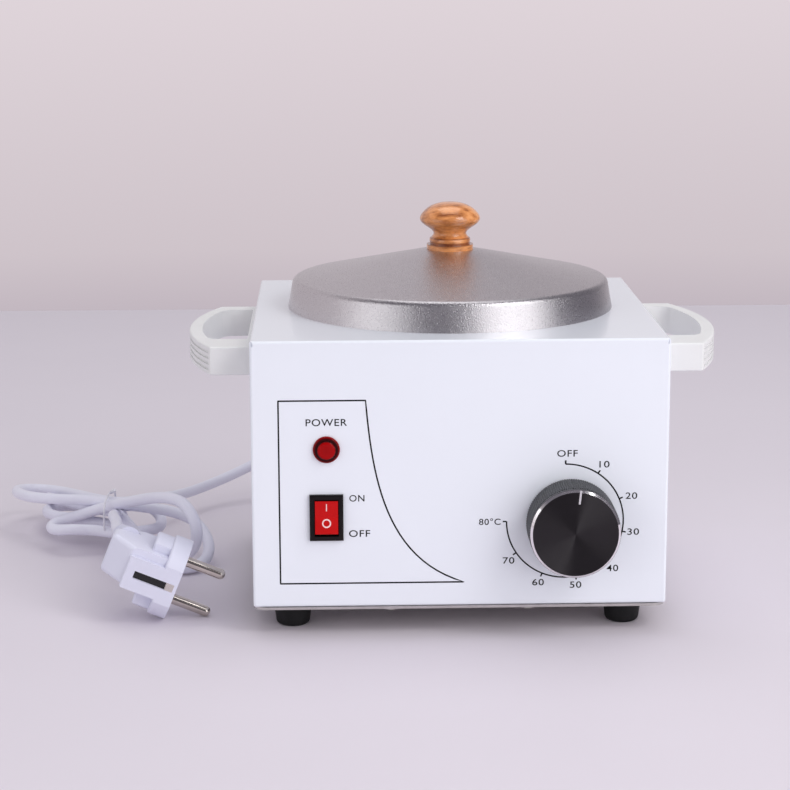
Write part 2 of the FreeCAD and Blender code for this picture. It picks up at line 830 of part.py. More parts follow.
def make_insulation():
    """Glass-wool sleeve around the band, open where the ears and terminals are."""
    sleeve = ring_band(sleeve_inner, sleeve_outer, band_bottom, band_height)
    open_sweep = insulation_open_to - insulation_open_from
    return sleeve.cut(sector(2 * sleeve_outer, insulation_open_from, open_sweep, band_bottom, band_height))


def make_sensor_bulb():
    return arc_rod(sensor_path_radius, sensor_radius, sensor_start_angle, sensor_sweep, sensor_z)


def wall_strap(path_radius, rod_radius, angle, z):
    """Thin strap that holds a rod against the well's wall."""
    start = angle - clip_sweep / 2
    outer = arc_rod(path_radius, rod_radius + clip_gap + clip_thickness, start, clip_sweep, z)
    inner = arc_rod(path_radius, rod_radius + clip_gap, start, clip_sweep, z)
    wall = rod(well_radius, 4 * sensor_diameter, V(0, well_y, z - 2 * sensor_diameter), Z_AXIS)
    return outer.cut(inner).cut(wall)


def make_wall_clips():
    """Two straps on the sensor bulb and one on the thermal fuse."""
    clips = []
    for share in clip_shares:
        angle = sensor_start_angle + sensor_sweep * share
        clips.append(wall_strap(sensor_path_radius, sensor_radius, angle, sensor_z))
    fuse_radius = fuse_diameter / 2
    clips.append(wall_strap(well_radius + sensor_gap + fuse_radius, fuse_radius,
                            fuse_start_angle + fuse_sweep / 2, sensor_z))
    return clips


def make_thermal_fuse():
    radius = fuse_diameter / 2
    return arc_rod(well_radius + sensor_gap + radius, radius, fuse_start_angle, fuse_sweep, sensor_z)


# ---- thermostat and dial ----

def make_thermostat():
    """Thermostat box behind the front panel with its spindle bush and two blade terminals."""
    half = V(thermostat_width / 2, 0, thermostat_height / 2)
    centre = V(dial_x, front_inside, dial_z)
    plate = block(centre - half, centre + half + V(0, thermostat_plate, 0))
    box_half = half - V(1, 0, 1) * thermostat_plate
    box = block(centre - box_half, centre + box_half + V(0, thermostat_depth, 0))
    along = [edge for edge in box.Edges if abs(edge.tangentAt(edge.FirstParameter).y) > 0.5]
    box = box.makeFillet(thermostat_corner_radius, along)
    bush = rod(bush_radius, bush_reach + 2 * sheet, V(dial_x, front_y - bush_reach, dial_z), Y_AXIS)
    body = plate.fuse([box, bush]).removeSplitter()
    bore_length = bush_reach + sheet + spindle_tail
    bore_start = V(dial_x, front_y - bush_reach, dial_z)
    body = body.cut(rod(spindle_radius + spindle_fit, bore_length, bore_start, Y_AXIS))
    for side in (-1, 1):
        start = V(dial_x + side * thermostat_screw_spacing / 2, front_inside, dial_z)
        body = body.cut(rod(m4_shank / 2 + thread_gap, thermostat_depth / 2, start, Y_AXIS))
        blade_y = front_inside + thermostat_depth
        x = dial_x + side * thermostat_width * thermostat_blade_share
        low = V(x - blade_width / 2, blade_y, dial_z - thermostat_height * thermostat_blade_drop_share)
        body = body.fuse(block(low, low + V(blade_width, blade_length, blade_thickness)))
    return body


def make_thermostat_screws():
    screws = []
    for side in (-1, 1):
        seat = V(dial_x + side * thermostat_screw_spacing / 2, front_y, dial_z)
        screws.append(screw(m4_shank, thermostat_screw_length, thermostat_screw_head,
                            thermostat_screw_head_height, seat, Y_AXIS))
    return screws


def make_spindle():
    """Flatted spindle, from inside the thermostat into the dial's hub."""
    tip = dial_reach - dial_cap_thickness - dial_web
    length = spindle_tail + tip - spindle_fit
    spindle = rod(spindle_radius, length, V(0, 0, -spindle_tail), Z_AXIS)
    flat = block(V(-spindle_radius, spindle_radius - spindle_flat, bush_reach + dial_hub_gap),
                 V(spindle_radius, spindle_radius + 1, tip))
    return facing_front(spindle.cut(flat), dial_x, front_y, dial_z)


def make_dial_knob():
    """Hollow knob skirt with a central hub that sits on the spindle."""
    body_front = dial_reach - dial_cap_thickness
    hollow_front = body_front - dial_web
    slope = (dial_radius - dial_front_radius) / (body_front - dial_back_gap)
    inner_back = dial_radius - dial_wall
    inner_front = inner_back - slope * (hollow_front - dial_back_gap)
    hub_back = bush_reach + dial_hub_gap
    bore = spindle_radius + spindle_fit
    knob = turned([(bore, hub_back), (dial_hub_radius, hub_back), (dial_hub_radius, hollow_front),
                   (inner_front, hollow_front), (inner_back, dial_back_gap), (dial_radius, dial_back_gap),
                   (dial_front_radius, body_front), (0, body_front), (0, hollow_front),
                   (bore, hollow_front)])
    return facing_front(knob, dial_x, front_y, dial_z)


def make_dial_cap():
    """Turned aluminium cap with a bright chamfer and an engraved pointer line."""
    back = dial_reach - dial_cap_thickness
    cap = turned([(0, back), (dial_front_radius, back), (dial_front_radius, dial_reach - dial_chamfer),
                  (dial_front_radius - dial_chamfer, dial_reach), (0, dial_reach)])
    half_groove = dial_pointer_width / 2
    groove = block(V(-half_groove, dial_front_radius - dial_pointer_length, dial_reach - dial_pointer_depth),
                   V(half_groove, dial_front_radius, dial_reach + dial_pointer_depth))
    groove.rotate(V(0, 0, 0), Z_AXIS, -dial_rest_angle)
    return facing_front(cap.cut(groove), dial_x, front_y, dial_z)


# ---- rocker switch ----

def rocker_pivot():
    """Pivot of the rocker: its pressed half lies just proud of the bezel."""
    face_distance = rocker_pivot_depth * math.cos(math.radians(rocker_tilt))
    return V(rocker_x, front_y - bezel_thickness - rocker_proud + face_distance, rocker_z)


def rocker_end_reach():
    """Greatest height of a rocker end above its pivot when that end is pressed."""
    tilt = math.radians(rocker_tilt)
    end_depth = rocker_pivot_depth + rocker_half_length * math.tan(tilt)
    return end_depth * math.sin(tilt) + rocker_half_length * math.cos(tilt)


def make_rocker_housing():
    """Bezel and switch body with a well for the rocker and bearings for its trunnions."""
    pivot = rocker_pivot()
    bezel = block(V(rocker_x - bezel_width / 2, front_y - bezel_thickness, rocker_z - bezel_height / 2),
                  V(rocker_x + bezel_width / 2, front_y, rocker_z + bezel_height / 2))
    front_edges = [edge for edge in bezel.Edges if edge.BoundBox.YMax < front_y - bezel_thickness / 2]
    bezel = bezel.makeFillet(bezel_rounding, front_edges)
    half_x = cutout_width / 2 - cutout_gap
    half_z = cutout_height / 2 - cutout_gap
    body = block(V(rocker_x - half_x, front_y - sheet / 2, rocker_z - half_z),
                 V(rocker_x + half_x, front_y + switch_depth, rocker_z + half_z))
    body = bezel.fuse(body).removeSplitter()
    hollow_x = rocker_width / 2 + rocker_side_gap
    hollow_z = rocker_end_reach() + rocker_end_gap
    body = body.cut(block(V(rocker_x - hollow_x, front_y - 2 * bezel_thickness, rocker_z - hollow_z),
                          V(rocker_x + hollow_x, front_y + rocker_well_depth, rocker_z + hollow_z)))
    half_span = rocker_width / 2 + trunnion_length + trunnion_fit
    return body.cut(rod(trunnion_radius + trunnion_fit, 2 * half_span, pivot - X_AXIS * half_span, X_AXIS))


def make_rocker_key():
    """Shallow-V rocker with two trunnions, tilted so that its upper half is pressed in."""
    pivot = rocker_pivot()
    end_depth = rocker_pivot_depth + rocker_half_length * math.tan(math.radians(rocker_tilt))
    points = [V(0, -rocker_pivot_depth, 0), V(0, -end_depth, rocker_half_length),
              V(0, rocker_back, rocker_back_half), V(0, rocker_back, -rocker_back_half),
              V(0, -end_depth, -rocker_half_length)]
    radii = [0, rocker_tip_rounding, rocker_tip_rounding, rocker_tip_rounding, rocker_tip_rounding]
    key = Part.Face(outline(points, radii)).extrude(V(rocker_width, 0, 0))
    key.translate(V(-rocker_width / 2, 0, 0))
    half_span = rocker_width / 2 + trunnion_length
    key = key.fuse(rod(trunnion_radius, 2 * half_span, V(-half_span, 0, 0), X_AXIS)).removeSplitter()
    key.rotate(V(0, 0, 0), X_AXIS, -rocker_tilt)
    key.translate(pivot)
    return key


def make_rocker_terminals():
    blades = []
    for side in (-1, 1):
        z = rocker_z + side * cutout_height * terminal_rise_share
        low = V(rocker_x - blade_width / 2, front_y + switch_depth, z - blade_thickness / 2)
        blades.append(block(low, low + V(blade_width, blade_length, blade_thickness)))
    return blades


def rocker_blade_end(side):
    """Middle of the rear end of one blade of the switch: 1 is the upper one, -1 the lower."""
    rise = side * cutout_height * terminal_rise_share
    return V(rocker_x, front_y + switch_depth + blade_length, rocker_z + rise)


# ---- pilot lamp ----

def make_lamp_lens():
    """Red lens: a round rim and a low dome outside, a hollow barrel through the panel."""
    hollow = lens_barrel_radius - lens_wall
    profile = [(0, lens_rim), (hollow, lens_rim), (hollow, -lens_barrel_length),
               (lens_barrel_radius, -lens_barrel_length), (lens_barrel_radius, 0), (lens_radius, 0),
               (lens_radius, lens_rim), (lens_dome_radius, lens_rim),
               (lens_dome_radius, lens_rim + lens_dome_height), (0, lens_rim + lens_dome_height)]
    radii = [0, 0, 0, 0, 0, 0, lens_rim * lens_rim_share, 0, lens_dome_height * lens_dome_share, 0]
    return facing_front(turned(profile, radii), lamp_x, front_y, lamp_z)


def make_lamp_holder():
    """Sleeve behind the lens that holds the neon lamp."""
    hollow = lens_barrel_radius - lens_wall
    end = lens_barrel_length + holder_length
    holder = turned([(0, -end), (lens_barrel_radius, -end), (lens_barrel_radius, -lens_barrel_length),
                     (hollow, -lens_barrel_length), (hollow, -end + lens_wall), (0, -end + lens_wall)])
    return facing_front(holder, lamp_x, front_y, lamp_z)


def make_lamp_nut():
    nut = hex_nut(lamp_nut_flats, lamp_nut_thickness, 2 * (lens_barrel_radius + spindle_fit), V(0, 0, 0))
    return facing_rear(nut, lamp_x, front_inside, lamp_z)


def make_neon_lamp():
    """Small glass lamp with rounded ends, inside lens and holder."""
    lamp = turned([(0, -neon_length), (neon_radius, -neon_length), (neon_radius, 0), (0, 0)],
                  [0, neon_radius * neon_end_share, neon_radius * neon_tip_share, 0])
    return facing_front(lamp, lamp_x, front_y, lamp_z)


# ---- mains inlet and wiring ----

def make_cord_boot():
    """Tapered, ribbed strain relief that grips the rear panel between two flanges."""
    bore = cord_radius + cord_fit
    inside = -sheet - boot_flange_thickness
    profile = [(bore, inside), (boot_flange_radius, inside), (boot_flange_radius, -sheet),
               (boot_neck_radius, -sheet), (boot_neck_radius, 0), (boot_flange_radius, 0),
               (boot_flange_radius, boot_flange_thickness)]
    profile += ribbed_taper(boot_flange_thickness, boot_reach, boot_base_radius, boot_tip_radius, boot_ribs,
                            boot_plain_tip)
    profile.append((bore, boot_reach))
    return facing_rear(turned(profile), gland_x, rear_y, gland_z)


def ribbed_taper(start, end, start_radius, end_radius, ribs, plain_tip):
    """(radius, height) points of a cone with square grooves, and a plain stretch at its tip."""
    points = [(start_radius, start)]
    rib_pitch = (end - plain_tip - start) / ribs
    for index in range(ribs):
        groove_start = start + rib_pitch * (index + rib_land_share)
        groove_end = start + rib_pitch * (index + 1)
        for height, depth in ((groove_start, 0), (groove_start, boot_rib_depth),
                              (groove_end, boot_rib_depth), (groove_end, 0)):
            share = (height - start) / (end - start)
            points.append((start_radius + (end_radius - start_radius) * share - depth, height))
    points.append((end_radius, end))
    return points


def make_cord_tail():
    """The lead's sheath inside the boot and on to the terminal block."""
    start = V(gland_x, rear_y + boot_reach, gland_z)
    return rod(cord_radius, boot_reach + sheet + boot_flange_thickness + tail_length, start, -Y_AXIS)


def make_cord_clamp():
    """Nylon post on the base that clamps the lead's sheath."""
    top = gland_z + cord_radius + clamp_cover
    clamp = block(V(gland_x - clamp_width / 2, clamp_y - clamp_thickness / 2, base_top),
                  V(gland_x + clamp_width / 2, clamp_y + clamp_thickness / 2, top))
    bore_start = V(gland_x, clamp_y - clamp_thickness, gland_z)
    clamp = clamp.cut(rod(cord_radius + cord_fit, 2 * clamp_thickness, bore_start, Y_AXIS))
    screw_start = V(gland_x, clamp_y, base_top)
    return clamp.cut(rod(m3_shank / 2 + thread_gap, bracket_screw_length, screw_start, Z_AXIS))


def make_terminal_block():
    """Three-way terminal block on the base."""
    low = V(block_x - block_length / 2, block_y - block_width / 2, base_top)
    body = block(low, low + V(block_length, block_width, block_height))
    for index in range(block_ways):
        x = block_x + (index - (block_ways - 1) / 2) * block_way_pitch
        start = V(x, block_y - block_width, base_top + block_height * block_mouth_share)
        body = body.cut(rod(block_way_diameter / 2, 2 * block_width, start, Y_AXIS))
        top = V(x, block_y, base_top + block_height * block_hole_share)
        body = body.cut(rod(block_way_diameter / 2, block_height, top, Z_AXIS))
    for x, y in block_screw_places:
        body = body.cut(rod(m3_shank / 2 + thread_gap, bracket_screw_length, V(x, y, base_top), Z_AXIS))
    return body


def block_way(index, side):
    """Point just outside one mouth of the terminal block."""
    x = block_x + (index - (block_ways - 1) / 2) * block_way_pitch
    return V(x, block_y + side * block_width / 2, base_top + block_height * block_mouth_share)


def wire(points):
    return swept_tube(points, wire_diameter / 2)


def make_core_wires():
    """The lead's three cores, from the end of its sheath down to the terminal block."""
    end_y = rear_inside - boot_flange_thickness - tail_length
    cores = []
    for index in range(block_ways):
        mouth = block_way(index, 1)
        start = V(gland_x + (index - 1) * core_pitch, end_y, gland_z)
        turn_y = (end_y + mouth.y) / 2
        cores.append(wire([start, V(start.x, turn_y, gland_z), V(mouth.x, turn_y, mouth.z), mouth]))
    return cores


def make_live_wire():
    """From the terminal block to the upper blade of the rocker switch."""
    blade = rocker_blade_end(1)
    mouth = block_way(0, -1)
    side_x = rocker_x - wire_swing
    return wire([mouth, mouth - Y_AXIS * wire_bed, V(side_x, centre_y - wire_bed, base_top + wire_bed),
                 V(side_x - wire_dip, blade.y + wire_climb, base_top + 2 * wire_bed),
                 V(rocker_x - wire_stub, blade.y + wire_swing, blade.z), blade + Y_AXIS * wire_stub, blade])


def make_switched_wire():
    """From the lower blade of the switch to a blade of the thermostat."""
    blade = rocker_blade_end(-1)
    end = thermostat_blade_end(-1)
    low_z = base_top + wire_swing
    return wire([blade, blade + Y_AXIS * wire_stub, V(rocker_x + wire_swing, blade.y + wire_bed, low_z),
                 V(0, blade.y + wire_dip, low_z - wire_dip),
                 V(end.x - 2 * wire_bed, end.y + wire_dip, low_z), end + Y_AXIS * wire_bed, end])


def thermostat_blade_end(side):
    """Middle of the rear end of one thermostat blade."""
    return V(dial_x + side * thermostat_width * thermostat_blade_share,
             front_inside + thermostat_depth + blade_length,
             dial_z - thermostat_height * thermostat_blade_drop_share + blade_thickness / 2)


def make_heater_wires():
    """From the thermostat to the thermal fuse, and from the fuse to the first post of the band heater."""
    blade = thermostat_blade_end(1)
    fuse_radius = well_radius + sensor_gap + fuse_diameter / 2
    near = around_well(fuse_radius, fuse_start_angle + fuse_sweep, sensor_z)
    far = around_well(fuse_radius, fuse_start_angle, sensor_z)
    post = around_well(band_outer + post_length, post_angles[0], (band_bottom + band_top) / 2)
    outward = (post - V(0, well_y, post.z)).normalize()
    to_fuse = wire([blade, blade + Y_AXIS * wire_stub,
                    V(blade.x - wire_climb, front_y + wire_climb, base_top + wire_bed),
                    V(0, front_y + wire_bed, base_top + wire_climb),
                    V(rocker_x + wire_climb, front_y + wire_swing, base_top + 2 * wire_climb),
                    V(rocker_x + wire_bed, front_y + wire_climb, sensor_z + wire_stub),
                    near + along_wall(fuse_start_angle + fuse_sweep) * wire_stub, near])
    to_post = wire([far, far - along_wall(fuse_start_angle) * wire_stub,
                    far + outward * wire_swing + V(-wire_dip, wire_dip, -wire_stub),
                    post + outward * wire_stub, post])
    return to_fuse, to_post


def along_wall(angle):
    """Unit vector along the well's wall at this angle, towards growing angles."""
    turn = math.radians(angle)
    return V(-math.sin(turn), math.cos(turn), 0)


def make_neutral_wire():
    """From the terminal block up to the second post of the band heater."""
    post = around_well(band_outer + post_length, post_angles[1], (band_bottom + band_top) / 2)
    outward = (post - V(0, well_y, post.z)).normalize()
    mouth = block_way(1, -1)
    wall_x = wire_bed - half_width
    return wire([mouth, mouth - Y_AXIS * wire_bed,
                 V(wall_x + 2 * wire_bed, well_y - wire_climb, base_top + wire_bed),
                 V(wall_x, post.y - wire_stub, post.z - wire_climb), post + outward * wire_stub, post])


def make_lamp_wires():
    """Two thin leads that hang from the lamp holder to the switch blades."""
    wires = []
    back_y = front_y + lens_barrel_length + holder_length
    for side in (-1, 1):
        start = V(lamp_x + side * lamp_lead_spacing / 2, back_y, lamp_z)
        wires.append(wire([start, start + Y_AXIS * lamp_lead_stub,
                           V(lamp_x + side * lamp_lead_swing, back_y + lamp_lead_stub, lamp_z - wire_bed),
                           V(lamp_x + side * lamp_lead_swing, back_y, rocker_z + wire_bed)]))
    return wires


def make_earth_wire():
    """From the last way of the terminal block to the earth screw on the base."""
    mouth = block_way(2, -1)
    end = V(earth_place[0] - m4_head, earth_place[1], base_top + wire_diameter)
    return wire([mouth, mouth - Y_AXIS * wire_bed,
                 V(block_x + block_length, mouth.y - wire_swing, base_top + wire_dip),
                 V(end.x - wire_swing, end.y - wire_dip, end.z), end])


def make_earth_screw():
    """Screw up through the base plate with its nut, beside the end of the earth wire."""
    length = base_thickness + 2 * nut_thickness
    bolt = screw(m4_shank, length, m4_head, m4_head_height, V(*earth_place, base_bottom), Z_AXIS)
    nut_bore = m4_shank + 2 * thread_gap
    return bolt, hex_nut(nut_across_flats, nut_thickness, nut_bore, V(*earth_place, base_top))


def make_capillary():
    """Thin tube from the sensor bulb, down behind the front panel to the side of the thermostat."""
    start = around_well(sensor_path_radius, sensor_start_angle, sensor_z)
    panel_y = front_inside + capillary_panel_gap
    side = V(dial_x - thermostat_width / 2 + thermostat_plate, front_inside + thermostat_depth / 2,
             dial_z + capillary_exit_level)
    return swept_tube([start, start - along_wall(sensor_start_angle) * wire_stub,
                       V(start.x - wire_swing, panel_y + wire_dip, sensor_z),
                       V(start.x - wire_swing, panel_y, sensor_z - wire_bed),
                       V(start.x - wire_bed, panel_y, sensor_z - capillary_drop),
                       V(side.x - wire_swing, panel_y + capillary_radius, side.z + wire_dip),
                       side - X_AXIS * capillary_side_gap, side], capillary_radius)


# ---- pot and lid ----

def make_wax_pot():
    """Lift-out bowl whose rolled rim sits on the well's flange."""
    rim_centre = pot_rim_radius - pot_bead_radius
    pot = bowl(pot_radius, pot_wall, pot_corner_radius, pot_bottom, rim_centre, seat_z + pot_wall)
    bead = Part.makeTorus(rim_centre, pot_bead_radius, V(0, well_y, seat_z + pot_bead_radius), Z_AXIS)
    return pot.fuse(bead).removeSplitter()


def lid_profile(inset):
    """Outline of the lid's body, moved in by the given inset."""
    top = lid_height - inset
    shoulder = lid_skirt_height - inset
    bottom = -inset
    return turned([(0, bottom), (lid_radius - inset, bottom), (lid_shoulder_radius - inset, shoulder),
                   (lid_flat_radius, top), (0, top)],
                  [0, 0, max(lid_shoulder_rounding - inset, lid_wall), lid_flat_rounding, 0])


def make_lid_shell():
    """Spun lid: a slightly tapered skirt, a rounded shoulder and a shallow cone up to a small flat."""
    shell = lid_profile(0).cut(lid_profile(lid_wall))
    shell = shell.cut(rod(m4_shank / 2 + knob_hole_gap, lid_height * 2, V(0, 0, 0), Z_AXIS))
    shell.translate(V(0, well_y, lid_bottom))
    return shell


def make_lid_knob():
    """Turned wooden knob: base disc, groove, bead, waist and a flattened ball."""
    bead_bottom = wood_base_height + wood_groove_height
    bead_top = bead_bottom + wood_bead_height
    base_radius = wood_base_diameter / 2
    edges = [Part.LineSegment(V(0, 0, 0), V(base_radius, 0, 0)).toShape(),
             Part.LineSegment(V(base_radius, 0, 0), V(base_radius, 0, wood_base_height)).toShape(),
             Part.LineSegment(V(base_radius, 0, wood_base_height),
                              V(wood_groove_diameter / 2, 0, wood_base_height)).toShape(),
             Part.LineSegment(V(wood_groove_diameter / 2, 0, wood_base_height),
                              V(wood_groove_diameter / 2, 0, bead_bottom)).toShape(),
             Part.Arc(V(wood_groove_diameter / 2, 0, bead_bottom),
                      V(wood_bead_diameter / 2, 0, (bead_bottom + bead_top) / 2),
                      V(wood_groove_diameter / 2, 0, bead_top)).toShape()]
    curve = Part.BSplineCurve()
    curve.interpolate([V(wood_groove_diameter / 2, 0, bead_top),
                       V(wood_neck_diameter / 2, 0, wood_neck_level),
                       V(wood_ball_diameter / 2, 0, wood_ball_level),
                       V(wood_shoulder_diameter / 2, 0, wood_shoulder_level),
                       V(wood_crown_diameter / 2, 0, wood_crown_level), V(0, 0, wood_height)])
    edges.append(curve.toShape())
    edges.append(Part.LineSegment(V(0, 0, wood_height), V(0, 0, 0)).toShape())
    knob = Part.Face(Part.Wire(edges)).revolve(V(0, 0, 0), Z_AXIS, FULL_TURN)
    knob = knob.cut(rod(m4_shank / 2 + thread_gap, wood_screw_depth, V(0, 0, 0), Z_AXIS))
    knob.translate(V(0, well_y, knob_seat))
    return knob


def make_lid_knob_screw():
    low_z = knob_seat - lid_wall - washer_thickness
    length = lid_wall + washer_thickness + wood_screw_depth * wood_screw_share
    return screw(m4_shank, length, m4_head, m4_head_height, V(0, well_y, low_z), Z_AXIS)


def make_lid_knob_washer():
    base = V(0, well_y, knob_seat - lid_wall - washer_thickness)
    washer = rod(knob_washer_radius, washer_thickness, base, Z_AXIS)
    return washer.cut(rod(m4_shank / 2 + screw_hole_gap, washer_thickness, base, Z_AXIS))


# ---- free mains lead ----

def plug_frame():
    """The plug's own frame: X out of its face, Y along its pin row, Z towards the rear."""
    tilt = math.radians(plug_pitch)
    along = V(math.cos(tilt), 0, -math.sin(tilt))
    across = V(-math.sin(tilt), 0, -math.cos(tilt))
    return FreeCAD.Placement(plug_face, FreeCAD.Rotation(along, across, Y_AXIS, "XYZ"))


def place_on_plug(shape):
    shape.Placement = plug_frame().multiply(shape.Placement)
    return shape


def relief_direction():
    """Way the lead leaves the plug, in the plug's own frame."""
    yaw = math.radians(relief_yaw)
    dip = math.radians(relief_dip)
    return V(-math.cos(yaw) * math.cos(dip), math.sin(dip), math.sin(yaw) * math.cos(dip))


def disc_slice(radius, half_depth, length):
    """Round slab behind the plug's face, cut flat on the two earth sides."""
    disc = rod(radius, length, V(-length, 0, 0), X_AXIS)
    return disc.common(block(V(-length, -radius, -half_depth), V(0, radius, half_depth)))


def edges_behind_face(shape):
    """Edges that lie wholly behind the front end of a plug piece."""
    return [edge for edge in shape.Edges if edge.BoundBox.XMax < shape.BoundBox.XMax - plug_overlap / 2]


def make_plug_body():
    """Earthed plug: round face, central band with the earth slots, recessed wings and a grip."""
    face = disc_slice(plug_face_radius, plug_half_depth, plug_face_thickness)
    face = face.makeFillet(plug_rounding, edges_behind_face(face))
    wings = disc_slice(plug_wing_radius, plug_wing_half_depth, plug_wing_length)
    wings = wings.makeFillet(plug_rounding, edges_behind_face(wings))
    band = block(V(-plug_band_length, -plug_band_width / 2, -plug_half_depth),
                 V(-plug_overlap, plug_band_width / 2, plug_half_depth))
    band = band.makeFillet(plug_rounding, edges_behind_face(band))
    body = face.fuse([wings, band, make_plug_grip()]).removeSplitter()
    cuts = [rod(relief_base_radius + relief_pocket_gap, relief_length, relief_start, relief_direction())]
    for side in (-1, 1):
        low_z = plug_half_depth - earth_slot_depth if side > 0 else -plug_half_depth
        low = V(-earth_slot_start - earth_slot_length, -earth_slot_width / 2, low_z)
        cuts.append(block(low, low + V(earth_slot_length, earth_slot_width, earth_slot_depth)))
        pin_place = V(0, side * pin_spacing / 2, 0)
        cuts.append(rod(pin_root_diameter / 2, plug_face_thickness, pin_place, -X_AXIS))
    cuts.append(rod(earth_hole_diameter / 2, earth_hole_depth, V(0, 0, earth_hole_offset), -X_AXIS))
    return place_on_plug(body.cut(cuts))


def make_plug_grip():
    """Grip behind the face, bevelled towards its rear end."""
    end_half_depth = plug_grip_half_depth - plug_grip_bevel
    corners = [V(-plug_overlap, -plug_grip_up, -plug_grip_half_depth),
               V(-plug_band_length, -plug_grip_up, -plug_grip_half_depth),
               V(-plug_grip_length, -plug_grip_up, -end_half_depth),
               V(-plug_grip_length, -plug_grip_up, end_half_depth),
               V(-plug_band_length, -plug_grip_up, plug_grip_half_depth),
               V(-plug_overlap, -plug_grip_up, plug_grip_half_depth)]
    outline_face = Part.Face(Part.makePolygon(corners + corners[:1]))
    grip = outline_face.extrude(V(0, plug_grip_up + plug_grip_down, 0))
    return grip.makeFillet(plug_grip_rounding, edges_behind_face(grip))


def make_plug_pins():
    """Two round pins with domed tips and a narrower root in the plug's face."""
    pins = []
    root_radius = pin_root_diameter / 2
    pin_radius = pin_diameter / 2
    for side in (-1, 1):
        pin = turned([(0, -plug_face_thickness), (root_radius, -plug_face_thickness), (root_radius, 0),
                      (pin_radius, 0), (pin_radius, pin_length), (0, pin_length)],
                     [0, 0, 0, 0, pin_radius * dome_share, 0])
        pin.rotate(V(0, 0, 0), Y_AXIS, 90)
        pin.translate(V(0, side * pin_spacing / 2, 0))
        pins.append(place_on_plug(pin))
    return pins


def make_earth_contacts():
    """Nickel strip in the slot on each side of the plug."""
    half_width_y = earth_slot_width / 2
    rear_end = -earth_slot_start - earth_slot_length
    lip_start = -earth_slot_start - earth_slot_width
    strips = []
    for side in (-1, 1):
        floor = side * (plug_half_depth - earth_slot_depth)
        strip_top = floor + side * earth_strip_thickness
        lip_top = floor + side * earth_slot_depth
        base = block(V(rear_end, -half_width_y, min(floor, strip_top)),
                     V(-earth_slot_start, half_width_y, max(floor, strip_top)))
        lip = block(V(lip_start, -half_width_y, min(floor, lip_top)),
                    V(-earth_slot_start, half_width_y, max(floor, lip_top)))
        strips.append(place_on_plug(base.fuse(lip).removeSplitter()))
    return strips


def make_plug_relief():
    """Ribbed, tapered strain relief seated in a pocket of the plug."""
    taper = ribbed_taper(0, relief_length, relief_base_radius, relief_tip_radius, relief_ribs,
                         boot_plain_tip)
    relief = turned([(0, 0), *taper, (0, relief_length)])
    relief.Placement = FreeCAD.Placement(relief_start, FreeCAD.Rotation(Z_AXIS, relief_direction()))
    return place_on_plug(relief)


def lead_route():
    """The lead from the boot, round to the left and down to the hank."""
    exit_point = V(gland_x, rear_y + boot_reach, gland_z)
    return [exit_point, exit_point + Y_AXIS * lead_straight, *lead_points]


def plug_lead_route():
    """The lead from the plug's strain relief back to the hank."""
    start = plug_frame().multVec(relief_start + relief_direction() * relief_length)
    outward = plug_frame().Rotation.multVec(relief_direction())
    return [start, start + outward * plug_lead_straight, *plug_lead_points]


def hank_ring(along, across, up, half_width, half_height):
    """Elliptical section of the hank at a place along, across and above the waist."""
    side = Z_AXIS.cross(hank_direction).normalize()
    centre = waist + V(hank_direction).normalize() * along + side * across + Z_AXIS * up
    if half_width >= half_height:
        ellipse = Part.Ellipse(V(0, 0, 0), half_width, half_height)
        axes = FreeCAD.Rotation(side, Z_AXIS, hank_direction, "XYZ")
    else:
        ellipse = Part.Ellipse(V(0, 0, 0), half_height, half_width)
        axes = FreeCAD.Rotation(Z_AXIS, -side, hank_direction, "XYZ")
    ring = Part.Wire([ellipse.toShape()])
    ring.Placement = FreeCAD.Placement(centre, axes)
    return ring


def make_cord_hank():
    """Outer shape of the tied hank: two fanned ends and a narrow waist."""
    return Part.makeLoft([hank_ring(*section) for section in hank_sections], True, False)


def make_cord_tie():
    """Flat twist tie around the waist of the hank."""
    inner = [hank_ring(side * tie_width / 2, 0, 0, waist_half_width + tie_gap, waist_half_height + tie_gap)
             for side in (-1, 1)]
    wall = tie_gap + tie_thickness
    outer = [hank_ring(side * tie_width / 2, 0, 0, waist_half_width + wall, waist_half_height + wall)
             for side in (-1, 1)]
    return Part.makeLoft(outer, True, True).cut(Part.makeLoft(inner, True, True))


def build_housing():
    save("housing_shell", make_housing_shell())
    save("base_plate", make_base_plate())
    foot_names = ("foot_front_left", "foot_rear_left", "foot_front_right", "foot_rear_right")
    for name, place in zip(foot_names, foot_places):
        save(name, make_foot(*place))
    save("foot_screws", *make_foot_screws())
    nut_bore = m4_shank + 2 * thread_gap
    save("foot_nuts", *[hex_nut(nut_across_flats, nut_thickness, nut_bore, V(x, y, base_top))
                        for x, y in foot_places])
    save("base_screws", *small_screws(base_screw_places))
    save("bracket_screws", *small_screws(bracket_screw_places()))
    save("left_handle", make_handle(-1))
    save("right_handle", make_handle(1))
    save("handle_screws", *make_handle_screws())


def build_heater():
    save("heating_well", make_heating_well())
    save("well_boss", make_well_boss())
    save("tie_bolt", make_tie_bolt())
    save("band_heater", make_band_heater())
    save("heater_clamp_screw", *make_heater_screw())
    save("insulation_sleeve", make_insulation())
    save("sensor_bulb", make_sensor_bulb())
    save("capillary_tube", make_capillary())
    save("wall_clips", *make_wall_clips())
    save("thermal_fuse", make_thermal_fuse())


def build_controls():
    save("thermostat_body", make_thermostat())
    save("thermostat_screws", *make_thermostat_screws())
    save("thermostat_spindle", make_spindle())
    save("dial_knob", make_dial_knob())
    save("dial_cap", make_dial_cap())
    save("rocker_housing", make_rocker_housing())
    save("rocker_key", make_rocker_key())
    save("rocker_terminals", *make_rocker_terminals())
    save("lamp_lens", make_lamp_lens())
    save("lamp_holder", make_lamp_holder())
    save("lamp_nut", make_lamp_nut())
    save("neon_lamp", make_neon_lamp())


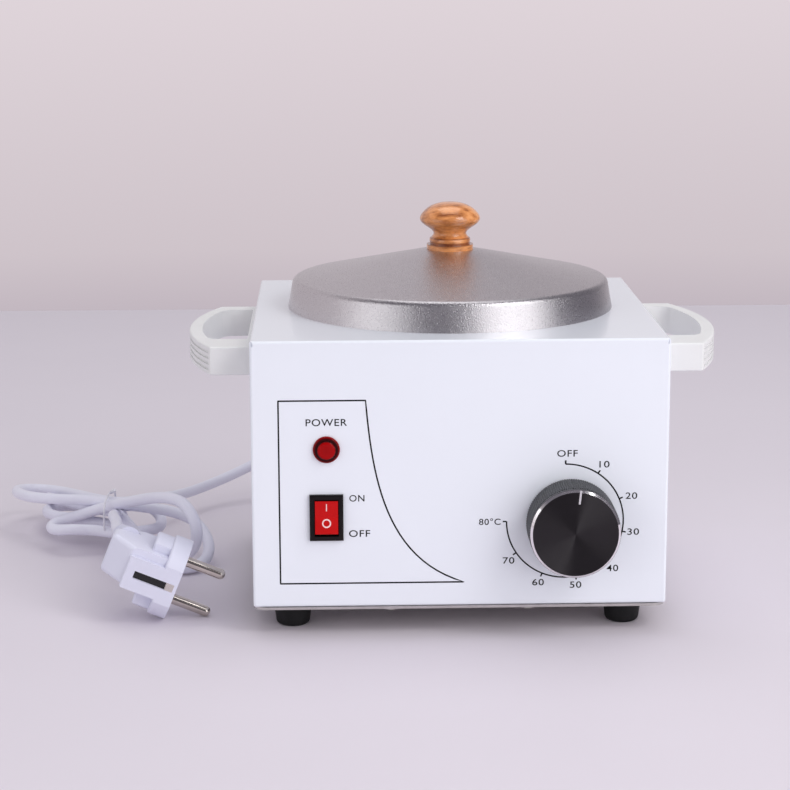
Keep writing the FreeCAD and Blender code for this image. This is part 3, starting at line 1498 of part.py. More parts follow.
def build_wiring():
    save("cord_boot", make_cord_boot())
    save("cord_tail", make_cord_tail())
    save("cord_clamp", make_cord_clamp())
    save("terminal_block", make_terminal_block())
    save("core_wires", *make_core_wires())
    save("live_wire", make_live_wire())
    save("switched_wire", make_switched_wire())
    save("neutral_wire", make_neutral_wire())
    save("heater_wires", *make_heater_wires())
    save("lamp_wires", *make_lamp_wires())
    save("earth_wire", make_earth_wire())
    save("earth_screw", *make_earth_screw())


def build_pot_and_lid():
    save("wax_pot", make_wax_pot())
    save("lid_shell", make_lid_shell())
    save("lid_knob", make_lid_knob())
    save("lid_knob_screw", make_lid_knob_screw())
    save("lid_knob_washer", make_lid_knob_washer())


def build_free_lead():
    save("mains_cord", swept_tube(lead_route(), cord_radius, name="mains_cord"))
    save("plug_lead", swept_tube(plug_lead_route(), cord_radius, name="plug_lead"))
    save("cord_hank", make_cord_hank())
    save("cord_tie", make_cord_tie())
    save("plug_body", make_plug_body())
    save("plug_pins", *make_plug_pins())
    save("plug_earth_contacts", *make_earth_contacts())
    save("plug_strain_relief", make_plug_relief())


os.makedirs("parts", exist_ok=True)
build_housing()
build_heater()
build_controls()
build_wiring()
build_pot_and_lid()
build_free_lead()
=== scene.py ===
"""Looks of the single-pot wax warmer: enamelled housing with its printed panel, spun lid, wooden
knob, dial, switch, lamp, handles, feet, and the tied mains lead with its plug."""
import json
import math

import bmesh
import bpy
from mathutils import Matrix, Vector


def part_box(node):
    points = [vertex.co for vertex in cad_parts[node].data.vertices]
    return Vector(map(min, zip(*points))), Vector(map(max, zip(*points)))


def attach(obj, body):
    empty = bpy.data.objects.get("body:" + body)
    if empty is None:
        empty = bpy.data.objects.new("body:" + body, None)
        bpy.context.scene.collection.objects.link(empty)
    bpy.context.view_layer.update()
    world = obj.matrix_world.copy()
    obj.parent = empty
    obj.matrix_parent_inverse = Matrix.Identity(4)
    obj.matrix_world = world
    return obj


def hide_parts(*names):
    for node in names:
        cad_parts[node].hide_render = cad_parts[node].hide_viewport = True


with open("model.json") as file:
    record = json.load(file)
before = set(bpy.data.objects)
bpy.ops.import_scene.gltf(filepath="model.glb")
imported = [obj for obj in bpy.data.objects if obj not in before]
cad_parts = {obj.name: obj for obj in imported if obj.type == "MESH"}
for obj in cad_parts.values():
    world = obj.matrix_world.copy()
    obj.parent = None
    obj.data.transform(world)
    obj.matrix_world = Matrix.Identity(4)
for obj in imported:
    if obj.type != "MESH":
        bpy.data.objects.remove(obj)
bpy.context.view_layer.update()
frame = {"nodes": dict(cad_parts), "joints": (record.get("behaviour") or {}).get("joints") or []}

# ---- camera, lead and print, lengths in metres ----
MM = 0.001
IMAGE_SIDE = 790
FOCAL_PIXELS = 2207.0
SENSOR_WIDTH = 36.0
CAMERA_PLACE = Vector((-54.69, -1032.86, 312.99)) * MM
CAMERA_YAW = 0.0273
CAMERA_PITCH = 0.2113
CAMERA_ROLL = 0.0035
NEAREST_SEEN = 0.05
FARTHEST_SEEN = 50.0

CORD_DIAMETER = 5.6 * MM
TIE_WIRE = 1.0 * MM

ENAMEL_GAP = 0.01 * MM
INK_THICKNESS = 0.05 * MM
OUTLINE_WIDTH = 0.8 * MM
SCALE_WIDTH = 0.75 * MM
# widening of the letters' strokes, and spacing, as shares of their own size
LETTER_BOLD = 0.006
LETTER_SPACING = 1.1

# ---- places that follow from the frame ----
nodes = frame["nodes"]
joint_places = {joint["name"]: Vector(joint["pos_m"]) for joint in frame["joints"] if joint.get("pos_m")}
front_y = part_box("housing_shell")[0].y
base_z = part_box("base_plate")[0].z
dial_low, dial_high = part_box("dial_cap")
dial_centre = (dial_low + dial_high) / 2
dial_rim = (dial_high.x - dial_low.x) / 2
rocker_pivot = joint_places["rocker_tilt"]

# ---- floor, backdrop, room and lamps ----
TABLE_REACH = 0.77
TABLE_POWER = 8.0
TABLE_STEPS = 128
HORIZON_SLOPE = -0.17
BACKDROP_LOW = (0.54, 0.475, 0.525)
BACKDROP_MIDDLE = (0.62, 0.55, 0.59)
BACKDROP_HIGH = (0.77, 0.69, 0.73)
BACKDROP_STOPS = ((0.0, BACKDROP_LOW), (0.15, BACKDROP_MIDDLE), (1.0, BACKDROP_HIGH))
ROOM_BRIGHT_SIDE = (-0.45, 0.55, -0.3)
ROOM_STOPS = ((0.0, (0.15, 0.14, 0.165)), (0.06, (0.30, 0.28, 0.30)), (0.35, (0.62, 0.57, 0.60)))
WORLD_COLOUR = (0.97, 0.96, 1.0, 1.0)
WORLD_STRENGTH = 0.56
LAMP_TARGET = (0.0, 0.0, 0.07)
# every lamp: name, place, width, height and power
LAMPS = (("key_box", (0.8, -0.75, 1.15), 0.6, 0.6, 5.5),
         ("right_box", (0.85, -0.98, 0.45), 1.2, 0.9, 5.9),
         ("left_box", (-1.02, -0.77, 0.35), 0.95, 0.7, 2.1),
         ("top_box", (0.0, 0.3, 1.5), 1.0, 1.0, 4.0))

# ---- finishes ----
METAL = {"Metallic": 1.0}
METAL_GRAIN = (1500.0, 3.0, 0.01, 0.3)
PVC_GRAIN = (1200.0, 3.0, 0.03, 0.3)
DARK_STOP = 0.35
LIGHT_STOP = 0.65
# Every row: two shades and the scale of the drift between them, two roughnesses and the scale of
# that drift, grain as noise scale, noise detail, depth in millimetres and strength, other settings.
FINISHES = {
    "white_enamel": (((0.830, 0.855, 0.925), (0.840, 0.865, 0.935)), 9.0, (0.24, 0.27), 30.0,
                     (700.0, 1.0, 0.008, 0.3), {"Coat_Weight": 0.4, "Coat_Roughness": 0.07}),
    "white_plastic": (((0.80, 0.80, 0.80), (0.84, 0.84, 0.84)), 25.0, (0.34, 0.42), 80.0,
                      (2500.0, 2.0, 0.03, 0.5), {}),
    "black_rubber": (((0.006, 0.006, 0.007), (0.011, 0.011, 0.012)), 60.0, (0.5, 0.7), 120.0,
                     (3000.0, 2.0, 0.05, 0.6), {"Specular_IOR_Level": 0.3}),
    "black_plastic": (((0.008, 0.006, 0.007), (0.012, 0.009, 0.010)), 60.0, (0.3, 0.42), 200.0,
                      (4000.0, 2.0, 0.03, 0.4), {"Specular_IOR_Level": 0.15}),
    "red_plastic": (((0.50, 0.004, 0.005), (0.55, 0.006, 0.007)), 80.0, (0.3, 0.38), 200.0,
                    (4000.0, 2.0, 0.02, 0.3), {"Specular_IOR_Level": 0.12}),
    "bright_steel": (((0.527, 0.51, 0.493), (0.62, 0.60, 0.58)), 150.0, (0.14, 0.26), 900.0,
                     METAL_GRAIN, METAL),
    "nickel": (((0.561, 0.51, 0.4675), (0.66, 0.60, 0.55)), 150.0, (0.05, 0.09), 900.0,
               METAL_GRAIN, METAL),
    "copper": (((0.6375, 0.357, 0.255), (0.75, 0.42, 0.30)), 150.0, (0.14, 0.26), 900.0,
               METAL_GRAIN, METAL),
    "pointer_metal": (((0.7225, 0.7225, 0.731), (0.85, 0.85, 0.86)), 150.0, (0.14, 0.26), 900.0,
                      METAL_GRAIN, METAL),
    "dull_aluminium": (((0.55, 0.55, 0.56), (0.66, 0.66, 0.67)), 90.0, (0.3, 0.45), 500.0,
                       (1200.0, 3.0, 0.03, 0.4), METAL),
    "brass": (((0.62, 0.42, 0.16), (0.72, 0.52, 0.22)), 150.0, (0.25, 0.4), 500.0,
              (1200.0, 3.0, 0.02, 0.3), METAL),
    "knurled_metal": (((0.020, 0.020, 0.022), (0.038, 0.038, 0.042)), 250.0, (0.28, 0.4), 700.0,
                      None, METAL),
    "mica": (((0.30, 0.26, 0.19), (0.42, 0.37, 0.28)), 200.0, (0.35, 0.6), 700.0,
             (1500.0, 3.0, 0.05, 0.4), {}),
    "neon_glass": (((0.55, 0.35, 0.28), (0.65, 0.42, 0.33)), 300.0, (0.06, 0.14), 300.0, None, {}),
    "lead_pvc": (((0.77, 0.76, 0.87), (0.80, 0.79, 0.90)), 40.0, (0.38, 0.46), 150.0,
                 PVC_GRAIN, {}),
    "plug_pvc": (((0.69, 0.69, 0.82), (0.72, 0.72, 0.85)), 40.0, (0.36, 0.44), 150.0,
                 PVC_GRAIN, {}),
    "tie_plastic": (((0.66, 0.65, 0.72), (0.84, 0.83, 0.88)), 300.0, (0.22, 0.4), 500.0,
                    (900.0, 3.0, 0.05, 0.5), {}),
    "black_ink": (((0.004, 0.004, 0.005), (0.008, 0.008, 0.009)), 700.0, (0.55, 0.65), 900.0,
                  None, {"Specular_IOR_Level": 0.15}),
    "mark_white": (((0.86, 0.62, 0.62), (0.92, 0.70, 0.70)), 500.0, (0.35, 0.5), 900.0, None, {}),
    "brown_wire": (((0.10, 0.03, 0.01), (0.16, 0.05, 0.02)), 200.0, (0.35, 0.5), 400.0, None, {}),
    "blue_wire": (((0.01, 0.05, 0.35), (0.02, 0.08, 0.45)), 200.0, (0.35, 0.5), 400.0, None, {}),
    "green_wire": (((0.05, 0.25, 0.03), (0.30, 0.42, 0.03)), 200.0, (0.35, 0.5), 400.0, None, {}),
    "pale_floor": (((0.745, 0.690, 0.755), (0.755, 0.700, 0.765)), 6.0, (0.5, 0.6), 30.0,
                   None, {"Specular_IOR_Level": 0.2}),
}
WOOL_SHADES = ((0.55, 0.53, 0.48), (0.75, 0.73, 0.68))
WOOL_SHADE_SCALE = 400.0
WOOL_ROUGHNESS = 0.95
WOOL_TUFTS = (700.0, 6.0, 0.4, 0.9)
WOOL_TUFT_ROUGHNESS = 0.7
# lamp lens from its middle out: lit dome, dark ring of painted shade in the groove round it, red rim
LENS_RADIUS = 6.0 * MM
LENS_ROUGHNESS = (0.07, 0.14)
LENS_ROUGHNESS_SCALE = 300.0
LENS_WAVES = (1500.0, 1.0, 0.03, 0.2)
LENS_STOPS = ((0.0, (0.30, 0.001, 0.002)), (0.60, (0.36, 0.002, 0.003)), (0.69, (0.03, 0.0, 0.0005)),
              (0.84, (0.035, 0.0005, 0.001)), (1.0, (0.30, 0.004, 0.006)))
SPUN_GRAINS = (1900.0, 1.0, 0.16, 0.9)
SPUN_ROUGHNESS = (0.24, 0.34)
SPUN_CLOUD_SCALE = 14.0
SPUN_CLOUD_DETAIL = 2.0
SPUN_SHADES = ((0.3, (0.60, 0.58, 0.60)), (0.7, (0.70, 0.68, 0.70)))
SPUN_CLOUDS = ((0.3, (0.93, 0.92, 0.93)), (0.7, (1.0, 1.0, 1.0)))
WOOD_STRETCH = (1.0, 3.2, 4.5)
WOOD_SLANT = (0.2, 0.35, 0.1)
WOOD_GRAIN = (75.0, 4.0, 0.55)
WOOD_PORES = (900.0, 2.0, 0.02, 0.3)
WOOD_PORE_SHARE = 0.12
WOOD_ROUGHNESS = (0.24, 0.34)
WOOD_STOPS = ((0.32, (0.28, 0.075, 0.014)), (0.43, (0.56, 0.20, 0.055)),
              (0.54, (0.80, 0.32, 0.105)), (0.70, (0.90, 0.43, 0.175)))
# colour of the painted shade in the knob's turned grooves
GROOVE_PAINTED_SHADE = (0.42, 0.30, 0.22)
WHITE = (1.0, 1.0, 1.0)
# the two turned grooves of the knob as shares of its height, darkened with painted shade
GROOVE_STOPS = ((0.09, WHITE), (0.115, GROOVE_PAINTED_SHADE), (0.15, GROOVE_PAINTED_SHADE), (0.175, WHITE),
                (0.22, WHITE), (0.245, GROOVE_PAINTED_SHADE), (0.27, WHITE))
EARTH_ROUGHNESS = (0.18, 0.3)
EARTH_ROUGHNESS_SCALE = 900.0
# earth strip: near-black painted shade inside the slot, nickel at the lip
EARTH_STOPS = ((0.0, (0.006, 0.006, 0.007)), (1.0, (0.72, 0.68, 0.64)))
DIAL_STOPS = ((0.0, (0.042, 0.039, 0.042)), (1.0, (0.94, 0.92, 0.94)))
DIAL_RING_SCALE = 9000.0
DIAL_FACE_ROUGHNESS = (0.34, 0.42)
DIAL_RIM_SMOOTHER = 0.28

# ---- mains lead, in millimetres: the same route as the tubes and the hank of the frame ----
LEAD_ROUTE = ((-55, 107.5, 38), (-55, 127.5, 38), (-62, 143, 36), (-77, 154, 30.5), (-95, 155, 22.5),
              (-111, 148, 16), (-124, 136, 13.2), (-136, 119, 12.8), (-146, 103, 14.8), (-154, 88, 18.5),
              (-159, 74, 21))
HANK_AXIS = Vector((0.86, -0.51, 0.0)).normalized()
WAIST_HALF_RUN = 7.0
# every fold of the hank: middle of its run through the tie, climb of half that run, widest point on
# the way out, tip, and widest point on the way back
HANK_FOLDS = (((-172, 69, 22), 0, (-202, 118, 15), (-225, 111, 18), (-208, 65, 25)),
              ((-173, 64, 23), 0, (-132, 57, 19), (-118, 20, 5), (-144, 12, 6)),
              ((-172, 65, 11), 0, (-196, 73, 12.5), (-208, 100, 10), (-191, 106, 10)),
              ((-171, 76, 18), 0, (-157, 75, 19), (-145, 69, 13), (-150, 56, 10)),
              ((-171, 48, 11.6), 0, (-189, 48.5, 13), (-201.1, 57.5, 11.9), (-189, 66, 15)),
              ((-172, 58, 22), 2.5, (-132, -9, 46), (-121, -25, 24), (-147, 12, 11)),
              ((-171, 61, 19), 0, (-206, 100, 16), (-203, 119, 10), (-181, 112, 8)))
FOLD_STEPS = 4
HANK_END = (-163, 68, 14)
PLUG_LEAD_ROUTE = ((-167, 48, 20.5), (-166.5, 36, 23.5), (-164.5, 22, 26), (-161.5, 5, 28.5),
                   (-160.1, -13.3, 30), (-156, -29.6, 32.5))
LEAD_STEPS = 10
LEAD_SIDES = 6
TIE_CENTRE = (-170.8, 62.0, 17.9)
TIE_SIDE = Vector((0.08, 0.997, 0.0))
TIE_HALF_WIDTH = 17.0
TIE_HALF_HEIGHT = 10.3
TIE_SQUARENESS = 0.7
TIE_STEPS = 24
TIE_CURVE_STEPS = 6
TIE_SIDES = 4
TWIST_DIRECTION = Vector((0.80, -0.15, 0.42)).normalized()
TWIST_LENGTH = 3.6
TWIST_TURNS = 1.5
TWIST_RADIUS = 0.42
TWIST_STEPS = 14

# ---- plug, in millimetres ----
PLUG_FACE = Vector((-127.8, -56.5, 17.62))
PLUG_TILT = math.radians(22.3)
PLUG_AXIS = (math.cos(PLUG_TILT), 0.0, -math.sin(PLUG_TILT))
EARTH_LIP_DEPTH = 5.3

# ---- panel print, in millimetres from the middle of the panel's lower edge ----
OUTLINE_LEFT = -80.2
OUTLINE_TOP = 95.6
OUTLINE_BOTTOM = 12.2
OUTLINE_RIGHT = 1.7
OUTLINE_SHOULDER = -41.8
OUTLINE_PULLS = ((-39.0, 61.1), (-33.5, 23.2))
PRINT_STEPS = 24
PRINT_SIDES = 1
WORDS = (("POWER", -59.1, 85.8, 18.2, 3.2), ("ON", -45.9, 51.3, 6.7, 3.0), ("OFF", -44.8, 35.1, 9.4, 3.1))
SCALE_CENTRE = (46.63, 39.91)
SCALE_RADIUS = 26.04
SCALE_STEP = 33.75
ARC_STEP = 3
TICK_LENGTH = 1.7
NUMERAL_HEIGHT = 3.0
# words round the dial: text, distance from the scale's centre, width, and shift to the right and up
SCALE_WORDS = (("OFF", 30.9, 9.1, 0.75, 0.0), ("10", 31.0, 4.5, 0.0, 0.0),
               ("20", 31.2, 5.2, 0.65, -0.65), ("30", 31.2, 5.2, 0.0, 0.8),
               ("40", 31.2, 5.2, -0.5, 0.0), ("50", 30.2, 5.2, -0.75, 0.0),
               ("60", 30.6, 5.2, 0.0, 0.0), ("70", 31.0, 5.2, 0.75, -0.8),
               ("80\u00b0C", 33.5, 9.6, 0.0, 0.0))

# ---- dial and rocker, in millimetres ----
KNURL_TEETH = 120
KNURL_STEPS = 4
KNURL_DEPTH = 0.35
DIAL_WALL = 1.8
DIAL_WEB = 4.0
DIAL_HUB_RADIUS = 6.0
DIAL_BORE_RADIUS = 3.05
DIAL_HUB_SETBACK = 3.0
DIAL_REAR_SLOPE = 0.5
DIAL_FRONT_SLOPE = 0.6
DIAL_FRONT_STEP = 0.2
DIAL_CHAMFER = 1.1
POINTER_ANGLE = 6.0
POINTER_LENGTH = 6.2
POINTER_WIDTH = 0.88
POINTER_DEPTH = 0.26
POINTER_SUNK = 0.06
POINTER_END_GAP = 0.15
POINTER_DEPTH_SHARE = 0.8
POINTER_ROUNDING = 0.08
POINTER_ROUNDING_STEPS = 2
ROCKER_FACE = 2.462
ROCKER_FOLD = 0.434
ROCKER_SLANT = 20.0
BAR_HEIGHT = 3.2
BAR_WIDTH = 0.45
BAR_LEVEL = 4.55
RING_RADIUS = 2.0
RING_STROKE = 0.6
RING_LEVEL = 2.6
MARK_THICKNESS = 0.08
MARK_LIFT = 0.02
RING_STEPS = 40


# ---- node helpers ----

class Nodes:
    """A small wrapper that makes a material's node tree readable."""

    def __init__(self, name):
        self.material = bpy.data.materials.new(name)
        self.material.use_nodes = True
        self.tree = self.material.node_tree
        self.shader = self.tree.nodes["Principled BSDF"]

    def add(self, kind, **settings):
        node = self.tree.nodes.new(kind)
        for key, value in settings.items():
            if hasattr(node, key):
                setattr(node, key, value)
            else:
                node.inputs[key.replace("_", " ")].default_value = value
        return node

    def link(self, source, target):
        self.tree.links.new(source, target)

    def set(self, **values):
        for key, value in values.items():
            self.shader.inputs[key.replace("_", " ")].default_value = value

    def object_coordinates(self):
        return self.add("ShaderNodeTexCoord").outputs["Object"]

    def math(self, operation, first, second=None):
        node = self.add("ShaderNodeMath", operation=operation)
        for socket, value in zip(node.inputs, (first, second)):
            if value is None:
                continue
            if isinstance(value, (int, float)):
                socket.default_value = value
            else:
                self.link(value, socket)
        return node.outputs[0]

    def noise(self, scale, detail=3.0, roughness=0.5, vector=None, dimensions="3D", w=None):
        node = self.add("ShaderNodeTexNoise", noise_dimensions=dimensions)
        node.inputs["Scale"].default_value = scale
        node.inputs["Detail"].default_value = detail
        node.inputs["Roughness"].default_value = roughness
        if dimensions != "1D":
            self.link(vector or self.object_coordinates(), node.inputs["Vector"])
        if w is not None:
            self.link(w, node.inputs["W"])
        return node.outputs["Fac"]

    def ramp(self, factor, stops):
        node = self.add("ShaderNodeValToRGB")
        elements = node.color_ramp.elements
        while len(elements) < len(stops):
            elements.new(0.5)
        for element, (position, colour) in zip(elements, stops):
            element.position = position
            element.color = (*colour, 1.0)
        self.link(factor, node.inputs["Fac"])
        return node.outputs["Color"]

    def tint(self, colour, shade):
        """One colour multiplied by another."""
        node = self.add("ShaderNodeVectorMath", operation="MULTIPLY")
        self.link(colour, node.inputs[0])
        self.link(shade, node.inputs[1])
        return node.outputs["Vector"]

    def spread(self, factor, low, high):
        """Map a 0..1 factor to low..high."""
        node = self.add("ShaderNodeMapRange")
        node.inputs["To Min"].default_value = low
        node.inputs["To Max"].default_value = high
        self.link(factor, node.inputs["Value"])
        return node.outputs["Result"]

    def bump(self, height, depth, strength):
        """Relief of a 0..1 height, its depth in millimetres."""
        node = self.add("ShaderNodeBump")
        node.inputs["Strength"].default_value = strength
        node.inputs["Distance"].default_value = depth * MM
        self.link(height, node.inputs["Height"])
        return node.outputs["Normal"]

    def grain(self, scale, detail, depth, strength, roughness=0.5):
        """Noisy relief, its depth in millimetres."""
        return self.bump(self.noise(scale, detail, roughness), depth, strength)

    def split(self):
        """Object coordinates as three numbers."""
        node = self.add("ShaderNodeSeparateXYZ")
        self.link(self.object_coordinates(), node.inputs[0])
        return node.outputs

    def radial(self, centre):
        """Distance from the line through the centre along Y."""
        outputs = self.split()
        squares = []
        for axis, middle in (("X", centre.x), ("Z", centre.z)):
            offset = self.math("SUBTRACT", outputs[axis], middle)
            squares.append(self.math("MULTIPLY", offset, offset))
        return self.math("SQRT", self.math("ADD", *squares))

    def finish(self, colour, roughness=None, normal=None):
        self.link(colour, self.shader.inputs["Base Color"])
        if roughness is not None:
            self.link(roughness, self.shader.inputs["Roughness"])
        if normal is not None:
            self.link(normal, self.shader.inputs["Normal"])
        return self.material


# ---- materials ----

finishes_made = {}


def finish(name):
    """The finish of this name, made when it is first asked for."""
    if name not in finishes_made:
        shades, shade_scale, roughness, roughness_scale, grain, settings = FINISHES[name]
        n = Nodes(name)
        n.set(**settings)
        colour = two_tone(n, shade_scale, *shades)
        rough = n.spread(n.noise(roughness_scale), *roughness)
        finishes_made[name] = n.finish(colour, rough, n.grain(*grain) if grain else None)
    return finishes_made[name]


def two_tone(n, scale, dark, light):
    """Colour that drifts slightly between two near shades."""
    return n.ramp(n.noise(scale), [(DARK_STOP, dark), (LIGHT_STOP, light)])


def glass_wool():
    """Matt and tufted."""
    n = Nodes("glass_wool")
    n.set(Roughness=WOOL_ROUGHNESS)
    tufts = n.grain(*WOOL_TUFTS, roughness=WOOL_TUFT_ROUGHNESS)
    return n.finish(two_tone(n, WOOL_SHADE_SCALE, *WOOL_SHADES), None, tufts)


def lens_red():
    """Red lens: dome, groove and rim told apart by their distance from its middle; the groove is painted
    dark as shade.
    """
    n = Nodes("lens_red")
    n.set(Specular_IOR_Level=0.12)
    lamp_low, lamp_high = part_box("lamp_lens")
    share = n.math("DIVIDE", n.radial((lamp_low + lamp_high) / 2), LENS_RADIUS)
    rough = n.spread(n.noise(LENS_ROUGHNESS_SCALE), *LENS_ROUGHNESS)
    # the ramp paints the lens groove near-black as shade
    return n.finish(n.ramp(share, LENS_STOPS), rough, n.grain(*LENS_WAVES))


def spun_aluminium():
    """Fine bright grains over broad faint clouds."""
    n = Nodes("spun_aluminium")
    n.set(Metallic=1.0)
    scale, detail, depth, strength = SPUN_GRAINS
    grains = n.noise(scale, detail)
    clouds = n.ramp(n.noise(SPUN_CLOUD_SCALE, SPUN_CLOUD_DETAIL), SPUN_CLOUDS)
    colour = n.tint(n.ramp(grains, SPUN_SHADES), clouds)
    return n.finish(colour, n.spread(grains, *SPUN_ROUGHNESS), n.bump(grains, depth, strength))


def wood():
    """Varnished wood with long grain and pores, and painted shade in the turned grooves."""
    n = Nodes("varnished_wood")
    n.set(Coat_Weight=0.8, Coat_Roughness=0.05)
    stretch = n.add("ShaderNodeMapping")
    stretch.inputs["Scale"].default_value = WOOD_STRETCH
    stretch.inputs["Rotation"].default_value = WOOD_SLANT
    n.link(n.object_coordinates(), stretch.inputs["Vector"])
    pore_scale, pore_detail, depth, strength = WOOD_PORES
    grain = n.noise(*WOOD_GRAIN, vector=stretch.outputs["Vector"])
    pores = n.noise(pore_scale, pore_detail, vector=stretch.outputs["Vector"])
    mixed = n.math("ADD", n.math("MULTIPLY", grain, 1 - WOOD_PORE_SHARE),
                   n.math("MULTIPLY", pores, WOOD_PORE_SHARE))
    knob_low, knob_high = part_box("lid_knob")
    level = n.add("ShaderNodeMapRange")
    level.inputs["From Min"].default_value = knob_low.z
    level.inputs["From Max"].default_value = knob_high.z
    n.link(n.split()["Z"], level.inputs["Value"])
    # painted shade: the wood colour is darkened in two bands of height at the turned grooves
    colour = n.tint(n.ramp(mixed, WOOD_STOPS), n.ramp(level.outputs["Result"], GROOVE_STOPS))
    return n.finish(colour, n.spread(pores, *WOOD_ROUGHNESS), n.bump(pores, depth, strength))


def earth_strip():
    """Nickel lip at the plug's face; behind it the strip inside the slot is painted near-black as shade."""
    n = Nodes("earth_strip")
    across = n.add("ShaderNodeVectorMath", operation="SUBTRACT")
    n.link(n.object_coordinates(), across.inputs[0])
    across.inputs[1].default_value = PLUG_FACE * MM
    along = n.add("ShaderNodeVectorMath", operation="DOT_PRODUCT")
    n.link(across.outputs["Vector"], along.inputs[0])
    along.inputs[1].default_value = PLUG_AXIS
    # the lip shows nickel; deeper in the slot the strip is painted shade, dark and not metal
    front = n.math("GREATER_THAN", along.outputs["Value"], -EARTH_LIP_DEPTH * MM)
    n.link(front, n.shader.inputs["Metallic"])
    rough = n.spread(n.noise(EARTH_ROUGHNESS_SCALE), *EARTH_ROUGHNESS)
    return n.finish(n.ramp(front, EARTH_STOPS), rough, n.grain(*METAL_GRAIN))


def dial_metal():
    """Black turned face with a bright chamfer: its fine rings spread light into one streak."""
    n = Nodes("dial_black_metal")
    n.set(Metallic=1.0, Anisotropic=1.0)
    radius = n.radial(dial_centre)
    front = n.math("LESS_THAN", n.split()["Y"], dial_low.y + DIAL_CHAMFER * MM)
    outside = n.math("GREATER_THAN", radius, dial_rim - DIAL_CHAMFER * MM)
    rim = n.math("MULTIPLY", front, outside)
    offset = n.add("ShaderNodeVectorMath", operation="SUBTRACT")
    n.link(n.object_coordinates(), offset.inputs[0])
    offset.inputs[1].default_value = dial_centre
    outward = n.add("ShaderNodeVectorMath", operation="MULTIPLY")
    n.link(offset.outputs["Vector"], outward.inputs[0])
    outward.inputs[1].default_value = (1.0, 0.0, 1.0)
    turned = n.add("ShaderNodeVectorTransform", vector_type="VECTOR", convert_from="OBJECT",
                   convert_to="WORLD")
    n.link(outward.outputs["Vector"], turned.inputs[0])
    n.link(turned.outputs[0], n.shader.inputs["Tangent"])
    rings = n.spread(n.noise(DIAL_RING_SCALE, 1.0, dimensions="1D", w=radius), *DIAL_FACE_ROUGHNESS)
    rough = n.math("SUBTRACT", rings, n.math("MULTIPLY", rim, DIAL_RIM_SMOOTHER))
    return n.finish(n.ramp(rim, DIAL_STOPS), rough)


def dress(material, *names):
    """Give CAD nodes a material."""
    for name in names:
        slots = nodes[name].data.materials
        slots.clear()
        slots.append(material)


def dress_frame():
    """Finish of every CAD node that stays in view, inside and out."""
    dress(finish("white_enamel"), "housing_shell")
    dress(finish("bright_steel"), "base_plate", "base_screws", "bracket_screws", "foot_screws", "foot_nuts",
          "handle_screws", "lid_knob_screw", "lid_knob_washer", "heater_clamp_screw", "thermostat_screws",
          "tie_bolt", "earth_screw", "wall_clips")
    dress(finish("black_rubber"), "foot_front_left", "foot_front_right", "foot_rear_left",
          "foot_rear_right")
    dress(finish("white_plastic"), "left_handle", "right_handle", "terminal_block", "cord_clamp",
          "lamp_holder", "lamp_nut")
    dress(finish("dull_aluminium"), "heating_well", "wax_pot", "well_boss")
    dress(spun_aluminium(), "lid_shell")
    dress(wood(), "lid_knob")
    dress(lens_red(), "lamp_lens")
    dress(finish("black_plastic"), "rocker_housing", "thermostat_body", "dial_knob")
    dress(finish("red_plastic"), "rocker_key")
    dress(finish("brass"), "rocker_terminals", "thermostat_spindle")
    dress(finish("copper"), "sensor_bulb", "capillary_tube")
    dress(finish("mica"), "band_heater", "thermal_fuse")
    dress(glass_wool(), "insulation_sleeve")
    dress(finish("neon_glass"), "neon_lamp")
    dress(finish("nickel"), "plug_pins")
    dress(earth_strip(), "plug_earth_contacts")
    dress(finish("plug_pvc"), "plug_body", "plug_strain_relief")
    dress(finish("lead_pvc"), "cord_boot", "cord_tail", "mains_cord", "plug_lead", "cord_hank", "cord_tie")
    dress(finish("brown_wire"), "core_wires", "live_wire", "switched_wire", "heater_wires")
    dress(finish("blue_wire"), "neutral_wire", "lamp_wires")
    dress(finish("green_wire"), "earth_wire")
    dress(dial_metal(), "dial_cap")


# ---- shapes ----

def place_piece(obj, body):
    """Link a new piece and let it ride on a body."""
    bpy.context.scene.collection.objects.link(obj)
    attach(obj, body)
    return obj


def mesh_piece(name, builder, material, body):
    """Make a closed mesh piece from a bmesh."""
    bmesh.ops.recalc_face_normals(builder, faces=builder.faces)
    mesh = bpy.data.meshes.new(name)
    builder.to_mesh(mesh)
    builder.free()
    mesh.materials.append(material)
    return place_piece(bpy.data.objects.new(name, mesh), body)


def wire_curve(name, radius, steps, sides):
    """Empty 3-D curve with a round section."""
    data = bpy.data.curves.new(name, "CURVE")
    data.dimensions = "3D"
    data.bevel_depth = radius
    data.bevel_resolution = sides
    data.resolution_u = steps
    data.use_fill_caps = True
    return data


def add_nurbs(data, points):
    """Smooth open spline with these control points, in millimetres."""
    spline = data.splines.new("NURBS")
    spline.points.add(len(points) - 1)
    for target, point in zip(spline.points, points):
        target.co = (*(Vector(point) * MM), 1.0)
    spline.order_u = 3
    spline.use_endpoint_u = True


# ---- mains lead ----

def hank_points():
    """Folds of the hank: each runs straight through the tie and then round a half ellipse."""
    points = []
    for index, fold in enumerate(HANK_FOLDS):
        through, outward, tip, back = (Vector(point) for point in (fold[0], *fold[2:]))
        half_run = HANK_AXIS * WAIST_HALF_RUN * (1 if index % 2 else -1) + Vector((0, 0, fold[1]))
        points += [through - half_run, through + half_run]
        middle = (outward + back) / 2
        across = (outward - back) / 2
        reach = tip - middle
        for step in range(FOLD_STEPS + 1):
            angle = math.pi * step / FOLD_STEPS
            points.append(middle + across * math.cos(angle) + reach * math.sin(angle))
    return points


def make_lead():
    """The whole free lead on one smooth line: from the boot, through the hank, to the plug."""
    data = wire_curve("mains_lead", CORD_DIAMETER / 2, LEAD_STEPS, LEAD_SIDES)
    add_nurbs(data, [*LEAD_ROUTE, *hank_points(), HANK_END, *PLUG_LEAD_ROUTE])
    data.materials.append(finish("lead_pvc"))
    lead = place_piece(bpy.data.objects.new("mains_lead", data), "housing")
    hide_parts("mains_cord", "cord_hank", "plug_lead")
    make_tie()


